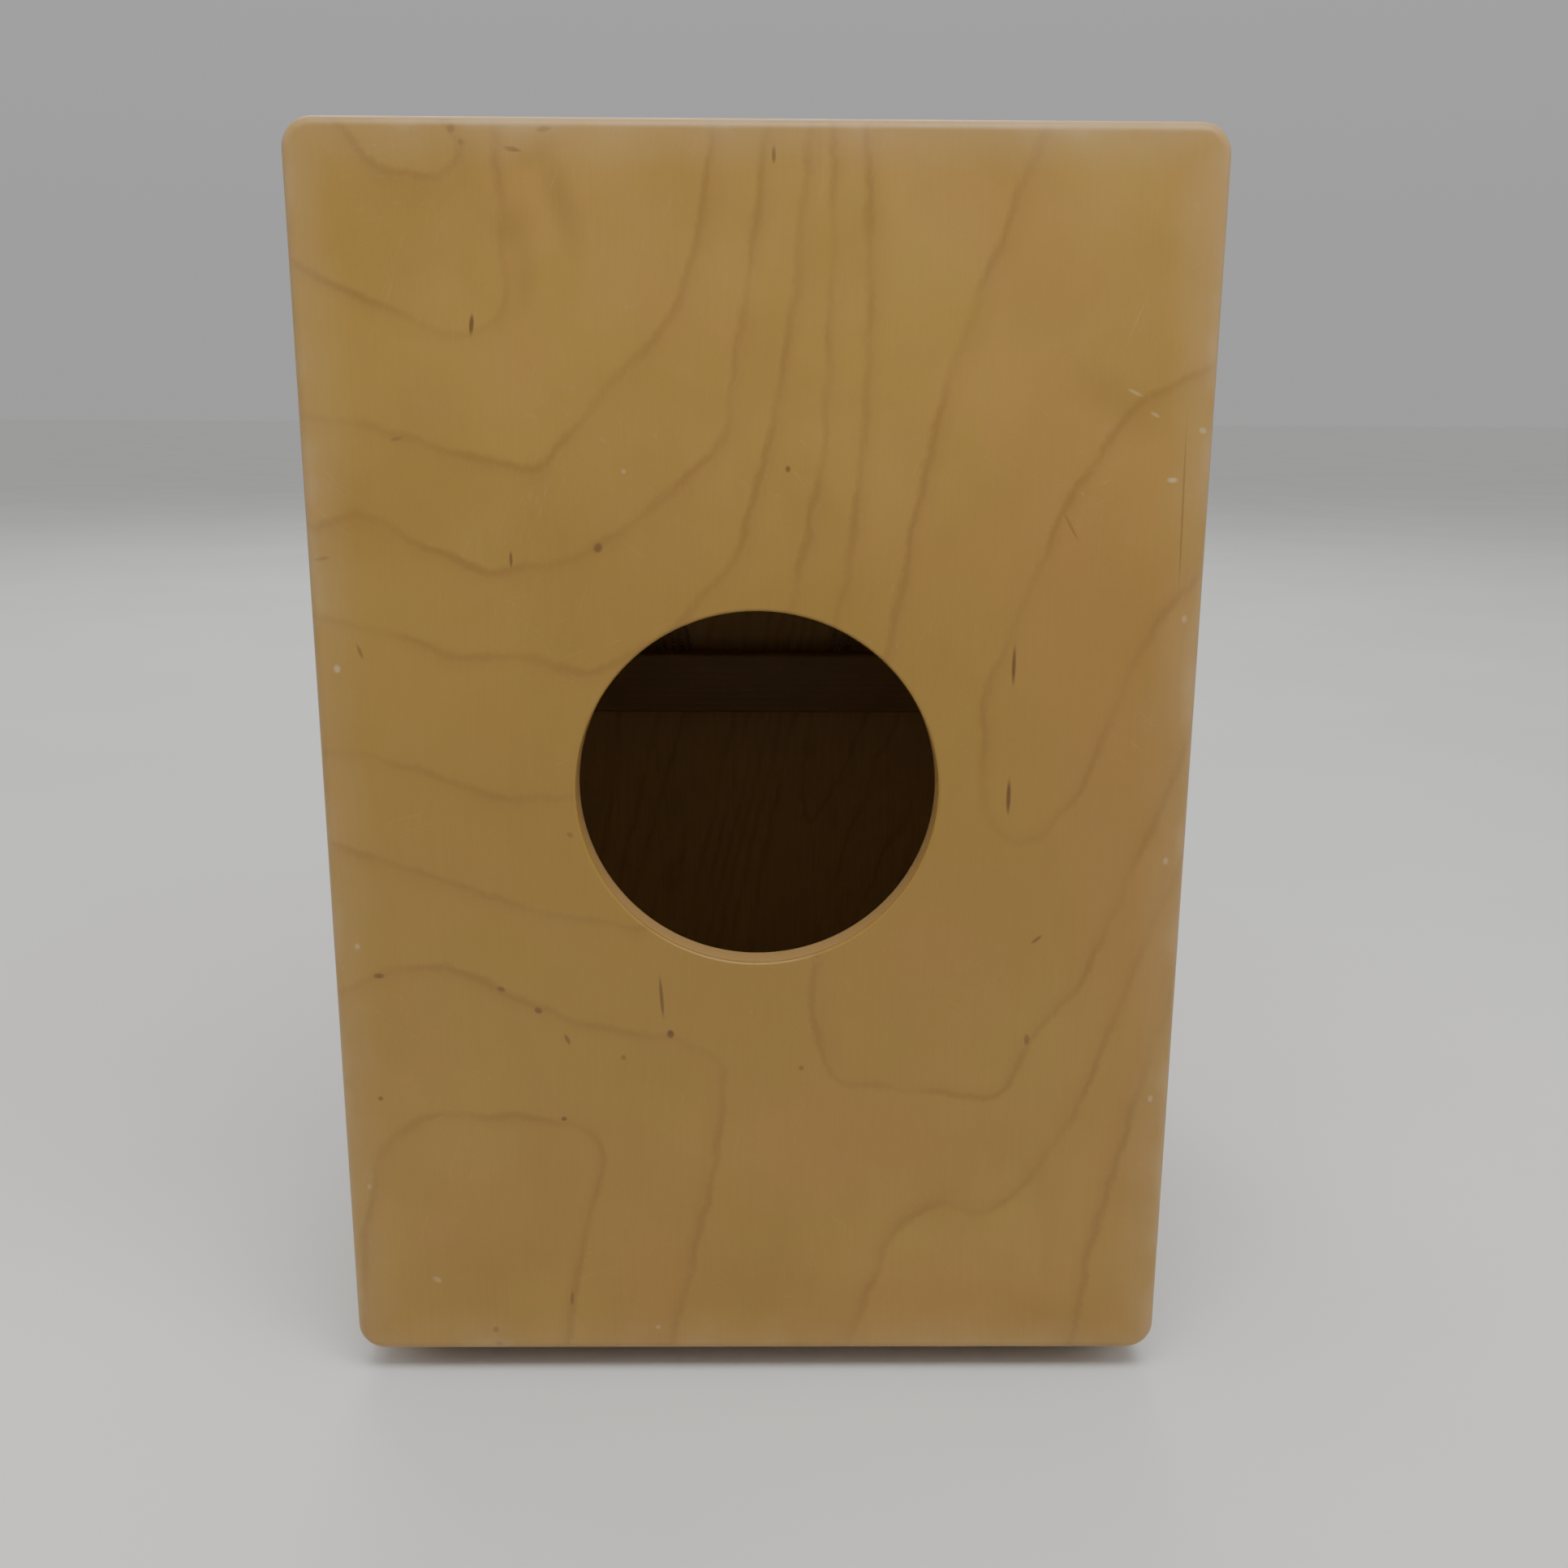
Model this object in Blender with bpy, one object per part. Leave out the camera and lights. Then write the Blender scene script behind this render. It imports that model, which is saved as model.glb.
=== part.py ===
"""Cajon: a plywood box drum, open to the rear through one round sound hole.

Frame: metres, +Z up, origin on the floor under the middle of the drum. The playing plate (tapa) faces -Y and
the rear panel with the sound hole faces +Y. Left and right are those of a player who sits on the drum and
faces the same way as the tapa, so left is +X.

The box is glued up from plywood panels with softwood blocks in its long inner corners, the tapa is screwed to
its front edges, and it stands on four rubber feet. Behind the tapa a wooden bar carries two fans of snare
wires. The bar is held by one screw through each side panel, and it turns about those two screws to lay the
wires on the tapa or to lift them off it.
"""

import math

import bmesh
import bpy
from mathutils import Matrix, Vector

# Driving dimensions of the box.
WIDTH = 0.300
DEPTH = 0.300
BOX_HEIGHT = 0.435
FOOT_HEIGHT = 0.010
PANEL = 0.012
TAPA = 0.003
CORNER_RADIUS = 0.010
REAR_ARRIS = 0.0035
FRONT_ARRIS = 0.0012
HOLE_RADIUS = 0.0625
HOLE_ARRIS = 0.0012
CORNER_STEPS = 6
ARRIS_STEPS = 5
HOLE_SIDES = 64
GLUE_BLOCK_LEG = 0.020
GLUE_BLOCK_NOSE = 0.0015
GLUE_BLOCK_SETBACK = 0.012
GAP = 0.0003

# Driving dimensions of the snare unit. The bar's level is above the underside of the box.
BAR_LEVEL = 0.208
BAR_HEIGHT = 0.030
BAR_DEPTH = 0.018
BAR_ARRIS = 0.0015
SPACER = 0.0010
SPACER_RADIUS = 0.0085
SNARE_LEAN = math.radians(3.0)
STRANDS_PER_FAN = 10
STRAND_PITCH = 0.0042
STRAND_RADIUS = 0.0011
STRAND_LENGTH = 0.165
FAN_SPREAD = math.radians(14.0)
FAN_OFFSET = 0.052
PLATE_HEIGHT = 0.014
PLATE_THICKNESS = 0.0010
PLATE_SCREW_REACH = 0.0235
PLATE_END = 0.0045
PLATE_NICK = 0.002

# Screws: head radius, head height, shank radius and length under the top of the head.
TAPA_SCREW = {"head_radius": 0.0035, "head": 0.0018, "shank_radius": 0.0016, "length": 0.020}
PIVOT_SCREW = {"head_radius": 0.0044, "head": 0.0023, "shank_radius": 0.0022, "length": 0.040}
FOOT_SCREW = {"head_radius": 0.0040, "head": 0.0022, "shank_radius": 0.0019, "length": 0.0165}
PLATE_SCREW = {"head_radius": 0.0030, "head": 0.0016, "shank_radius": 0.0013, "length": 0.011}
HEAD_SINK = 0.0002
HEAD_RIM = 0.0003
RECESS_REACH = 0.60
RECESS_HALF_WIDTH = 0.15
RECESS_DEPTH = 0.65
SCREW_SIDES = 12
CUT_OVERRUN = 0.002

# The ring of tapa screws: how many in each level row and between the rows, and the rows' end inset.
ROW_SCREWS = 4
COLUMN_SCREWS = 3
ROW_INSET = 0.020

# Feet.
FOOT_RADIUS = 0.014
FOOT_TIP_RADIUS = 0.0125
FOOT_INSET = 0.038
FOOT_RECESS_RADIUS = 0.0055
FOOT_RECESS_DEPTH = 0.0055
FOOT_EDGE = 0.001
ROUND_SIDES = 24

# Levels and planes that follow from the dimensions above.
BASE_Z = FOOT_HEIGHT
TOP_Z = FOOT_HEIGHT + BOX_HEIGHT
MIDDLE_Z = FOOT_HEIGHT + BOX_HEIGHT / 2
FRONT_Y = -DEPTH / 2
REAR_Y = DEPTH / 2
TAPA_BACK_Y = FRONT_Y + TAPA
REAR_PANEL_FRONT_Y = REAR_Y - PANEL
SIDE_INNER_X = WIDTH / 2 - PANEL
HOLE_Z = MIDDLE_Z
BAR_Z = FOOT_HEIGHT + BAR_LEVEL

# The strands lie in a plane in front of the bar, and their tips meet the back of the tapa.
PLATE_FRONT = BAR_DEPTH / 2 + GAP + PLATE_THICKNESS
STRAND_PLANE = PLATE_FRONT + STRAND_RADIUS * 0.45
STRAND_FOOT = -0.30 * PLATE_HEIGHT
STRAND_TIP = (STRAND_FOOT + STRAND_LENGTH) * math.cos(FAN_SPREAD)
STRAND_TIP += (STRANDS_PER_FAN - 1) / 2 * STRAND_PITCH * math.sin(FAN_SPREAD)
BAR_Y = (
    TAPA_BACK_Y
    + GAP
    + STRAND_RADIUS
    + STRAND_PLANE * math.cos(SNARE_LEAN)
    + STRAND_TIP * math.sin(SNARE_LEAN)
)

MATERIALS = {
    "birch_plywood": ((0.42, 0.25, 0.085, 1.0), 0.42, 0.0),
    "tapa_plywood": ((0.45, 0.28, 0.10, 1.0), 0.40, 0.0),
    "softwood": ((0.52, 0.34, 0.16, 1.0), 0.65, 0.0),
    "bar_wood": ((0.46, 0.29, 0.13, 1.0), 0.60, 0.0),
    "rubber": ((0.02, 0.02, 0.02, 1.0), 0.80, 0.0),
    "screw_steel": ((0.55, 0.54, 0.52, 1.0), 0.35, 1.0),
    "snare_steel": ((0.62, 0.61, 0.58, 1.0), 0.28, 1.0),
    "nylon": ((0.75, 0.74, 0.70, 1.0), 0.45, 0.0),
}


def material(name):
    """The named Principled material, made the first time that it is asked for."""
    if name in bpy.data.materials:
        return bpy.data.materials[name]
    colour, roughness, metallic = MATERIALS[name]
    made = bpy.data.materials.new(name)
    made.use_nodes = True
    shader = made.node_tree.nodes["Principled BSDF"]
    shader.inputs["Base Color"].default_value = colour
    shader.inputs["Roughness"].default_value = roughness
    shader.inputs["Metallic"].default_value = metallic
    made.diffuse_color = colour
    return made


def add_object(name, mesh, material_name, matrix=None, parent=None):
    """Link a mesh as a named object, placed by a matrix in its parent's space."""
    thing = bpy.data.objects.new(name, mesh)
    bpy.context.scene.collection.objects.link(thing)
    if not mesh.materials:
        mesh.materials.append(material(material_name))
    thing.parent = parent
    thing.matrix_basis = matrix or Matrix.Identity(4)
    return thing


def add_cutter(name, mesh, matrix=None, parent=None):
    """Link a mesh as a cutter: a guide that is drawn as wire and left out of the object."""
    cutter = add_object(name, mesh, "softwood", matrix, parent)
    cutter.display_type = "WIRE"
    cutter.hide_render = True
    return cutter


def add_boolean(thing, cutter, operation="DIFFERENCE"):
    """Cut or join a piece with another object, and leave the modifier on it."""
    boolean = thing.modifiers.new(cutter.name, "BOOLEAN")
    boolean.operation = operation
    boolean.solver = "EXACT"
    boolean.object = cutter


def finish_mesh(name, shape, smooth_angle=None):
    """Turn a bmesh into a mesh with outward faces, smooth where its faces meet at less than an angle."""
    bmesh.ops.recalc_face_normals(shape, faces=shape.faces)
    mesh = bpy.data.meshes.new(name)
    shape.to_mesh(mesh)
    shape.free()
    if smooth_angle is not None:
        mesh.shade_smooth()
        mesh.set_sharp_from_angle(angle=smooth_angle)
    return mesh


def add_loft(shape, loops):
    """Skin a row of closed loops with equal counts, and cap the first and the last."""
    rings = [[shape.verts.new(point) for point in loop] for loop in loops]
    for ring, following in zip(rings, rings[1:]):
        count = len(ring)
        for i in range(count):
            j = (i + 1) % count
            shape.faces.new((ring[i], ring[j], following[j], following[i]))
    shape.faces.new(rings[0])
    shape.faces.new(rings[-1])


def loft(name, loops, smooth_angle=math.radians(35)):
    """A closed solid skinned over a row of loops."""
    shape = bmesh.new()
    add_loft(shape, loops)
    return finish_mesh(name, shape, smooth_angle)


def arc(centre_a, centre_b, radius, start, end, steps):
    """Points on an arc in a plane with axes a and b, from one angle in degrees to another."""
    points = []
    for i in range(steps + 1):
        angle = math.radians(start + (end - start) * i / steps)
        points.append((centre_a + radius * math.cos(angle), centre_b + radius * math.sin(angle)))
    return points


def rounded_outline(y, inset=0.0):
    """The drum's outline across its depth at one Y: a rectangle with rounded corners, drawn in by an inset."""
    half = WIDTH / 2 - CORNER_RADIUS
    low = BASE_Z + CORNER_RADIUS
    high = TOP_Z - CORNER_RADIUS
    radius = CORNER_RADIUS - inset
    points = []
    for x, z, start in ((half, high, 0), (-half, high, 90), (-half, low, 180), (half, low, 270)):
        points += arc(x, z, radius, start, start + 90, CORNER_STEPS)
    return [(x, y, z) for x, z in points]


def add_turned(shape, profile, sides, matrix=None):
    """Add a solid turned about local Z from (radius, z) points that begin and end on the axis."""
    matrix = matrix or Matrix.Identity(4)
    rings = []
    for radius, z in profile:
        count = sides if radius > 0 else 1
        ring = []
        for i in range(count):
            angle = math.tau * i / sides
            point = Vector((radius * math.cos(angle), radius * math.sin(angle), z))
            ring.append(shape.verts.new(matrix @ point))
        rings.append(ring)
    for ring, following in zip(rings, rings[1:]):
        for i in range(sides):
            j = (i + 1) % sides
            corners = (ring[i % len(ring)], ring[j % len(ring)])
            corners += (following[j % len(following)], following[i % len(following)])
            shape.faces.new(tuple(dict.fromkeys(corners)))


def turned(name, profile, sides, smooth_angle=math.radians(35)):
    """A mesh of one turned solid."""
    shape = bmesh.new()
    add_turned(shape, profile, sides)
    return finish_mesh(name, shape, smooth_angle)


def facing(position, direction):
    """A matrix that puts local +Z along a direction at a position."""
    turn = Vector((0.0, 0.0, 1.0)).rotation_difference(Vector(direction))
    return Matrix.Translation(position) @ turn.to_matrix().to_4x4()


def carved(name, mesh, cutter_mesh):
    """The mesh with another one cut out of it, as a mesh that copies can share."""
    piece = add_object("carving", mesh, "screw_steel")
    cutter = add_cutter("carving_cutter", cutter_mesh)
    add_boolean(piece, cutter)
    result = bpy.data.meshes.new_from_object(piece.evaluated_get(bpy.context.evaluated_depsgraph_get()))
    result.name = name
    bpy.data.objects.remove(piece)
    bpy.data.objects.remove(cutter)
    return result


# Screws. Local Z = 0 is the top of the head, and the shank runs down local -Z.
def countersunk_profile(size):
    """Flat head, cone under it, plain shank and a point."""
    return [
        (0.0, 0.0),
        (size["head_radius"], 0.0),
        (size["head_radius"], -HEAD_RIM),
        (size["shank_radius"], -size["head"]),
        (size["shank_radius"], -size["length"] + 2 * size["shank_radius"]),
        (0.0, -size["length"]),
    ]


def pan_profile(size):
    """Domed head, plain shank and a point."""
    radius = size["head_radius"]
    head = size["head"]
    return [
        (0.0, 0.0),
        (0.62 * radius, -0.10 * head),
        (0.92 * radius, -0.42 * head),
        (radius, -0.80 * head),
        (radius, -head),
        (size["shank_radius"], -head),
        (size["shank_radius"], -size["length"] + 2 * size["shank_radius"]),
        (0.0, -size["length"]),
    ]


def countersunk_clearance(size):
    """The room that a countersunk screw needs, open above its head."""
    return [
        (0.0, CUT_OVERRUN),
        (size["head_radius"] + GAP, CUT_OVERRUN),
        (size["head_radius"] + GAP, -HEAD_RIM - GAP),
        (size["shank_radius"] + GAP, -size["head"] - GAP),
        (size["shank_radius"] + GAP, -size["length"] - GAP),
        (0.0, -size["length"] - GAP),
    ]


def shank_clearance(size):
    """The hole that a pan-head screw's shank needs, from just above the underside of its head."""
    return [
        (0.0, -size["head"] + GAP),
        (size["shank_radius"] + GAP, -size["head"] + GAP),
        (size["shank_radius"] + GAP, -size["length"] - GAP),
        (0.0, -size["length"] - GAP),
    ]


def cross_recess(size):
    """A tapered cross that the driver fits, sunk into the head."""
    reach = RECESS_REACH * size["head_radius"]
    half_width = RECESS_HALF_WIDTH * size["head_radius"]
    depth = RECESS_DEPTH * size["head"]
    loops = []
    for z, scale in ((CUT_OVERRUN, 1.0), (-0.25 * depth, 1.0), (-depth, 0.4)):
        loop = []
        for quarter in range(4):
            turn = Matrix.Rotation(quarter * math.pi / 2, 3, "Z")
            for x, y in ((half_width, -half_width), (reach * scale, -half_width), (reach * scale, half_width)):
                loop.append(turn @ Vector((x, y, z)))
        loops.append(loop)
    return loft("cross_recess", loops, None)


def screw_mesh(name, size, profile):
    """A screw with its cross recess, as one mesh for all its copies."""
    return carved(name, turned(name, profile(size), SCREW_SIDES), cross_recess(size))


def clearance_mesh(name, size, clearance, places):
    """One cutter mesh with the clearance of every screw in a set."""
    shape = bmesh.new()
    for place in places:
        add_turned(shape, clearance(size), SCREW_SIDES, place)
    return finish_mesh(name, shape)


# Where the screws go.
def tapa_screw_places():
    """A ring of screws round the tapa, each into the middle of the panel edge behind it."""
    y = FRONT_Y + HEAD_SINK
    row_end = WIDTH / 2 - ROW_INSET
    row = [-row_end + 2 * row_end * i / (ROW_SCREWS - 1) for i in range(ROW_SCREWS)]
    column = [BASE_Z + BOX_HEIGHT * (i + 1) / (COLUMN_SCREWS + 1) for i in range(COLUMN_SCREWS)]
    points = [(x, y, TOP_Z - PANEL / 2) for x in row]
    points += [(WIDTH / 2 - PANEL / 2, y, z) for z in reversed(column)]
    points += [(x, y, BASE_Z + PANEL / 2) for x in reversed(row)]
    points += [(-WIDTH / 2 + PANEL / 2, y, z) for z in column]
    return [facing(point, (0, -1, 0)) for point in points]


def foot_points():
    """The four feet, inset from the corners of the base."""
    x = WIDTH / 2 - FOOT_INSET
    y = DEPTH / 2 - FOOT_INSET
    return [(-x, -y), (x, -y), (x, y), (-x, y)]


def foot_screw_places():
    """One screw up through each foot, its head deep in the foot's recess."""
    z = FOOT_RECESS_DEPTH - GAP - FOOT_SCREW["head"]
    return [facing((x, y, z), (0, 0, -1)) for x, y in foot_points()]


def pivot_screw_places():
    """One screw in through each side panel, on the axis that the snare bar turns about."""
    x = WIDTH / 2 - HEAD_SINK
    return [facing((side * x, BAR_Y, BAR_Z), (side, 0, 0)) for side in (1, -1)]


def fan_frame(side):
    """The frame of one fan of strands, in the snare unit's own space: local Z runs up the strands."""
    return Matrix.Translation((side * FAN_OFFSET, 0, 0)) @ Matrix.Rotation(side * FAN_SPREAD, 4, "Y")


def plate_screw_places(side):
    """Two screws through the ends of a fan's plate into the front of the bar."""
    y = -(PLATE_FRONT + GAP + PLATE_SCREW["head"])
    return [fan_frame(side) @ facing((x, y, 0), (0, -1, 0)) for x in (-PLATE_SCREW_REACH, PLATE_SCREW_REACH)]


# The box.
def plank(name, outline, material_name, front=TAPA_BACK_Y + GAP, rear=REAR_PANEL_FRONT_Y - GAP):
    """A piece that runs along the drum's depth with the same (x, z) outline all the way."""
    loops = [[(x, y, z) for x, z in outline] for y in (front, rear)]
    return add_object(name, loft(name, loops), material_name)


def level_panel_outline(top, up):
    """The seat or the base: a plank as wide as the drum, with its two outer corners rounded."""
    half = WIDTH / 2 - CORNER_RADIUS
    corner = top - up * CORNER_RADIUS
    inner = top - up * PANEL
    right = arc(half, corner, CORNER_RADIUS, 0, 90 * up, CORNER_STEPS)
    left = [(-x, z) for x, z in reversed(right)]
    return [(WIDTH / 2, inner)] + right + left + [(-WIDTH / 2, inner)]


def make_box(cutters):
    """The six panels, each cut by the screws that reach into it."""
    seat = plank("seat_panel", level_panel_outline(TOP_Z, 1), "birch_plywood")
    base = plank("base_panel", level_panel_outline(BASE_Z, -1), "birch_plywood")
    add_boolean(seat, cutters["tapa"])
    add_boolean(base, cutters["tapa"])
    add_boolean(base, cutters["foot"])

    low = BASE_Z + PANEL + GAP
    high = TOP_Z - PANEL - GAP
    for name, side in (("left_side_panel", 1), ("right_side_panel", -1)):
        inner = side * SIDE_INNER_X
        outer = side * WIDTH / 2
        panel = plank(name, [(inner, low), (outer, low), (outer, high), (inner, high)], "birch_plywood")
        add_boolean(panel, cutters["tapa"])
        add_boolean(panel, cutters["pivot"])

    rear = add_object("rear_panel", loft("rear_panel", rear_panel_loops()), "birch_plywood")
    add_boolean(rear, cutters["sound_hole"])

    tapa = add_object("tapa", loft("tapa", tapa_loops()), "tapa_plywood")
    add_boolean(tapa, cutters["tapa"])


def rear_panel_loops():
    """The rear panel from its inner face out, with a quarter-round arris on the outside."""
    loops = [rounded_outline(REAR_PANEL_FRONT_Y)]
    for depth, inset in arc(REAR_Y - REAR_ARRIS, REAR_ARRIS, REAR_ARRIS, 270, 360, ARRIS_STEPS):
        loops.append(rounded_outline(depth, inset))
    return loops


def tapa_loops():
    """The tapa from its back out, with a small rounded arris on the playing side."""
    loops = [rounded_outline(TAPA_BACK_Y)]
    for depth, inset in arc(0.0, FRONT_ARRIS, FRONT_ARRIS, 270, 360, 3):
        loops.append(rounded_outline(FRONT_Y + FRONT_ARRIS - depth, inset))
    return loops


def sound_hole_profile():
    """The sound hole as a turned cutter, flared where its edges are rounded."""
    half = PANEL / 2
    wide = HOLE_RADIUS + HOLE_ARRIS
    outer_edge = arc(wide, half - HOLE_ARRIS, HOLE_ARRIS, 90, 180, 3)
    inner_edge = [(radius, -z) for radius, z in reversed(outer_edge)]
    return [(0.0, PANEL), (wide, PANEL)] + outer_edge + inner_edge + [(wide, -PANEL), (0.0, -PANEL)]


def make_glue_blocks():
    """Softwood blocks glued into the four long inner corners, set back from the tapa so that it can ring."""
    nose = GLUE_BLOCK_NOSE
    leg = GLUE_BLOCK_LEG
    front = TAPA_BACK_Y + GLUE_BLOCK_SETBACK
    section = [(0.0, 0.0), (leg, 0.0), (leg, nose), (nose, leg), (0.0, leg)]
    corner_x = SIDE_INNER_X - GAP
    for level, corner_z, up in (("top", TOP_Z - PANEL - GAP, -1), ("bottom", BASE_Z + PANEL + GAP, 1)):
        for hand, side in (("left", 1), ("right", -1)):
            outline = [(side * (corner_x - a), corner_z + up * b) for a, b in section]
            plank(f"glue_block_{level}_{hand}", outline, "softwood", front)


def make_feet(cutters):
    """Four rubber feet, each with its screw up in a recess."""
    top = FOOT_HEIGHT - GAP
    profile = [(0.0, FOOT_RECESS_DEPTH), (FOOT_RECESS_RADIUS, FOOT_RECESS_DEPTH), (FOOT_RECESS_RADIUS, 0.0)]
    profile += arc(FOOT_TIP_RADIUS - FOOT_EDGE, FOOT_EDGE, FOOT_EDGE, 270, 360, 2)
    profile += [(FOOT_RADIUS, top - FOOT_EDGE), (FOOT_RADIUS - FOOT_EDGE / 2, top), (0.0, top)]
    foot = turned("rubber_foot", profile, ROUND_SIDES)
    screw = screw_mesh("foot_screw", FOOT_SCREW, pan_profile)
    for index, ((x, y), place) in enumerate(zip(foot_points(), foot_screw_places()), start=1):
        piece = add_object(f"rubber_foot_{index}", foot, "rubber", Matrix.Translation((x, y, 0)))
        add_boolean(piece, cutters["foot"])
        add_object(f"foot_screw_{index}", screw, "screw_steel", place)


def make_tapa_screws():
    """The ring of countersunk screws, their heads just under the tapa's surface."""
    screw = screw_mesh("tapa_screw", TAPA_SCREW, countersunk_profile)
    for index, place in enumerate(tapa_screw_places(), start=1):
        add_object(f"tapa_screw_{index:02d}", screw, "screw_steel", place)


# The snare unit.
def make_pivots(cutters):
    """The two screws that the bar turns on, and the nylon washer between each bar end and its side panel."""
    screw = screw_mesh("pivot_screw", PIVOT_SCREW, countersunk_profile)
    disc = [(0.0, 0.0), (SPACER_RADIUS, 0.0), (SPACER_RADIUS, -SPACER), (0.0, -SPACER)]
    washer = turned("bar_washer", disc, ROUND_SIDES)
    for hand, side, place in zip(("left", "right"), (1, -1), pivot_screw_places()):
        add_object(f"pivot_screw_{hand}", screw, "screw_steel", place)
        seat = facing((side * (SIDE_INNER_X - GAP), BAR_Y, BAR_Z), (side, 0, 0))
        piece = add_object(f"bar_washer_{hand}", washer, "nylon", seat)
        add_boolean(piece, cutters["pivot"])


def make_snare_bar(cutters, pivot):
    """The bar from side to side, with its four long edges eased."""
    half_length = SIDE_INNER_X - 2 * GAP - SPACER
    y = BAR_DEPTH / 2
    z = BAR_HEIGHT / 2
    eased_y = y - BAR_ARRIS
    eased_z = z - BAR_ARRIS
    corner = [(y, -eased_z), (y, eased_z), (eased_y, z), (-eased_y, z)]
    section = corner + [(-a, -b) for a, b in corner]
    loops = [[(x, a, b) for a, b in section] for x in (-half_length, half_length)]
    bar = add_object("snare_bar", loft("snare_bar", loops), "bar_wood", parent=pivot)
    for key in ("pivot", "plate_left", "plate_right"):
        add_boolean(bar, cutters[key])


def fan_plate_loops():
    """The plate that a fan's strands are soldered to, with its corners cut."""
    x = PLATE_SCREW_REACH + PLATE_END
    z = PLATE_HEIGHT / 2
    nick = PLATE_NICK
    corner = [(x, -z + nick), (x, z - nick), (x - nick, z), (-x + nick, z)]
    outline = corner + [(-a, -b) for a, b in corner]
    return [[(a, y, b) for a, b in outline] for y in (-PLATE_FRONT, -PLATE_FRONT + PLATE_THICKNESS)]


def strands_mesh():
    """The strands of one fan, each sunk a little into the front of the plate."""
    shape = bmesh.new()
    low = STRAND_FOOT
    high = STRAND_FOOT + STRAND_LENGTH
    profile = [(0.0, low), (STRAND_RADIUS, low), (STRAND_RADIUS, high), (0.0, high)]
    for i in range(STRANDS_PER_FAN):
        x = (i - (STRANDS_PER_FAN - 1) / 2) * STRAND_PITCH
        add_turned(shape, profile, 8, Matrix.Translation((x, -STRAND_PLANE, 0)))
    return finish_mesh("strands", shape, math.radians(50))


def make_fans(cutters, pivot):
    """Two fans of snare strands, spread outwards, each with two screws through its plate."""
    strands = strands_mesh()
    screw = screw_mesh("plate_screw", PLATE_SCREW, pan_profile)
    for hand, side in (("left", 1), ("right", -1)):
        frame = fan_frame(side)
        plate = loft("fan_plate", fan_plate_loops())
        fan = add_object(f"snare_fan_{hand}", plate, "snare_steel", frame, pivot)
        add_boolean(fan, add_cutter(f"strands_{hand}", strands, frame, pivot), "UNION")
        add_boolean(fan, cutters[f"plate_{hand}"])
        for index, place in enumerate(plate_screw_places(side), start=1):
            add_object(f"plate_screw_{hand}_{index}", screw, "screw_steel", place, pivot)


def make_cutters(pivot):
    """The clearances of every set of screws, and the sound hole."""
    cutters = {}
    sets = (
        ("tapa", TAPA_SCREW, countersunk_clearance, tapa_screw_places(), None),
        ("pivot", PIVOT_SCREW, countersunk_clearance, pivot_screw_places(), None),
        ("foot", FOOT_SCREW, shank_clearance, foot_screw_places(), None),
        ("plate_left", PLATE_SCREW, shank_clearance, plate_screw_places(1), pivot),
        ("plate_right", PLATE_SCREW, shank_clearance, plate_screw_places(-1), pivot),
    )
    for key, size, clearance, places, parent in sets:
        mesh = clearance_mesh(f"{key}_clearances", size, clearance, places)
        cutters[key] = add_cutter(f"{key}_clearances", mesh, parent=parent)
    hole = turned("sound_hole", sound_hole_profile(), HOLE_SIDES)
    middle = (0, REAR_Y - PANEL / 2, HOLE_Z)
    cutters["sound_hole"] = add_cutter("sound_hole", hole, facing(middle, (0, 1, 0)))
    return cutters


for leftover in list(bpy.data.objects):
    bpy.data.objects.remove(leftover)

# The snare unit hangs on this empty: its X is the line through the two pivot screws, and it leans forward so
# that the tips of the strands meet the tapa.
snare_pivot = bpy.data.objects.new("snare_pivot", None)
bpy.context.scene.collection.objects.link(snare_pivot)
snare_pivot.location = (0, BAR_Y, BAR_Z)
snare_pivot.rotation_euler = (SNARE_LEAN, 0, 0)
bpy.context.view_layer.update()

clearances = make_cutters(snare_pivot)
make_box(clearances)
make_glue_blocks()
make_feet(clearances)
make_tapa_screws()
make_pivots(clearances)
make_snare_bar(clearances, snare_pivot)
make_fans(clearances, snare_pivot)
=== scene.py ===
"""Cajon, finished: the surfaces, screws, feet and snares of a plywood box drum, built round its frame model.

Metres, +Z up. The rear panel with the sound hole faces +Y and the playing plate (tapa) faces -Y. Left and
right are those of a player who sits on the drum and faces the same way as the tapa, so left is +X.
"""

import math

import bmesh
import bpy
import numpy as np
from mathutils import Matrix, Vector
from mathutils.geometry import delaunay_2d_cdt


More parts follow.
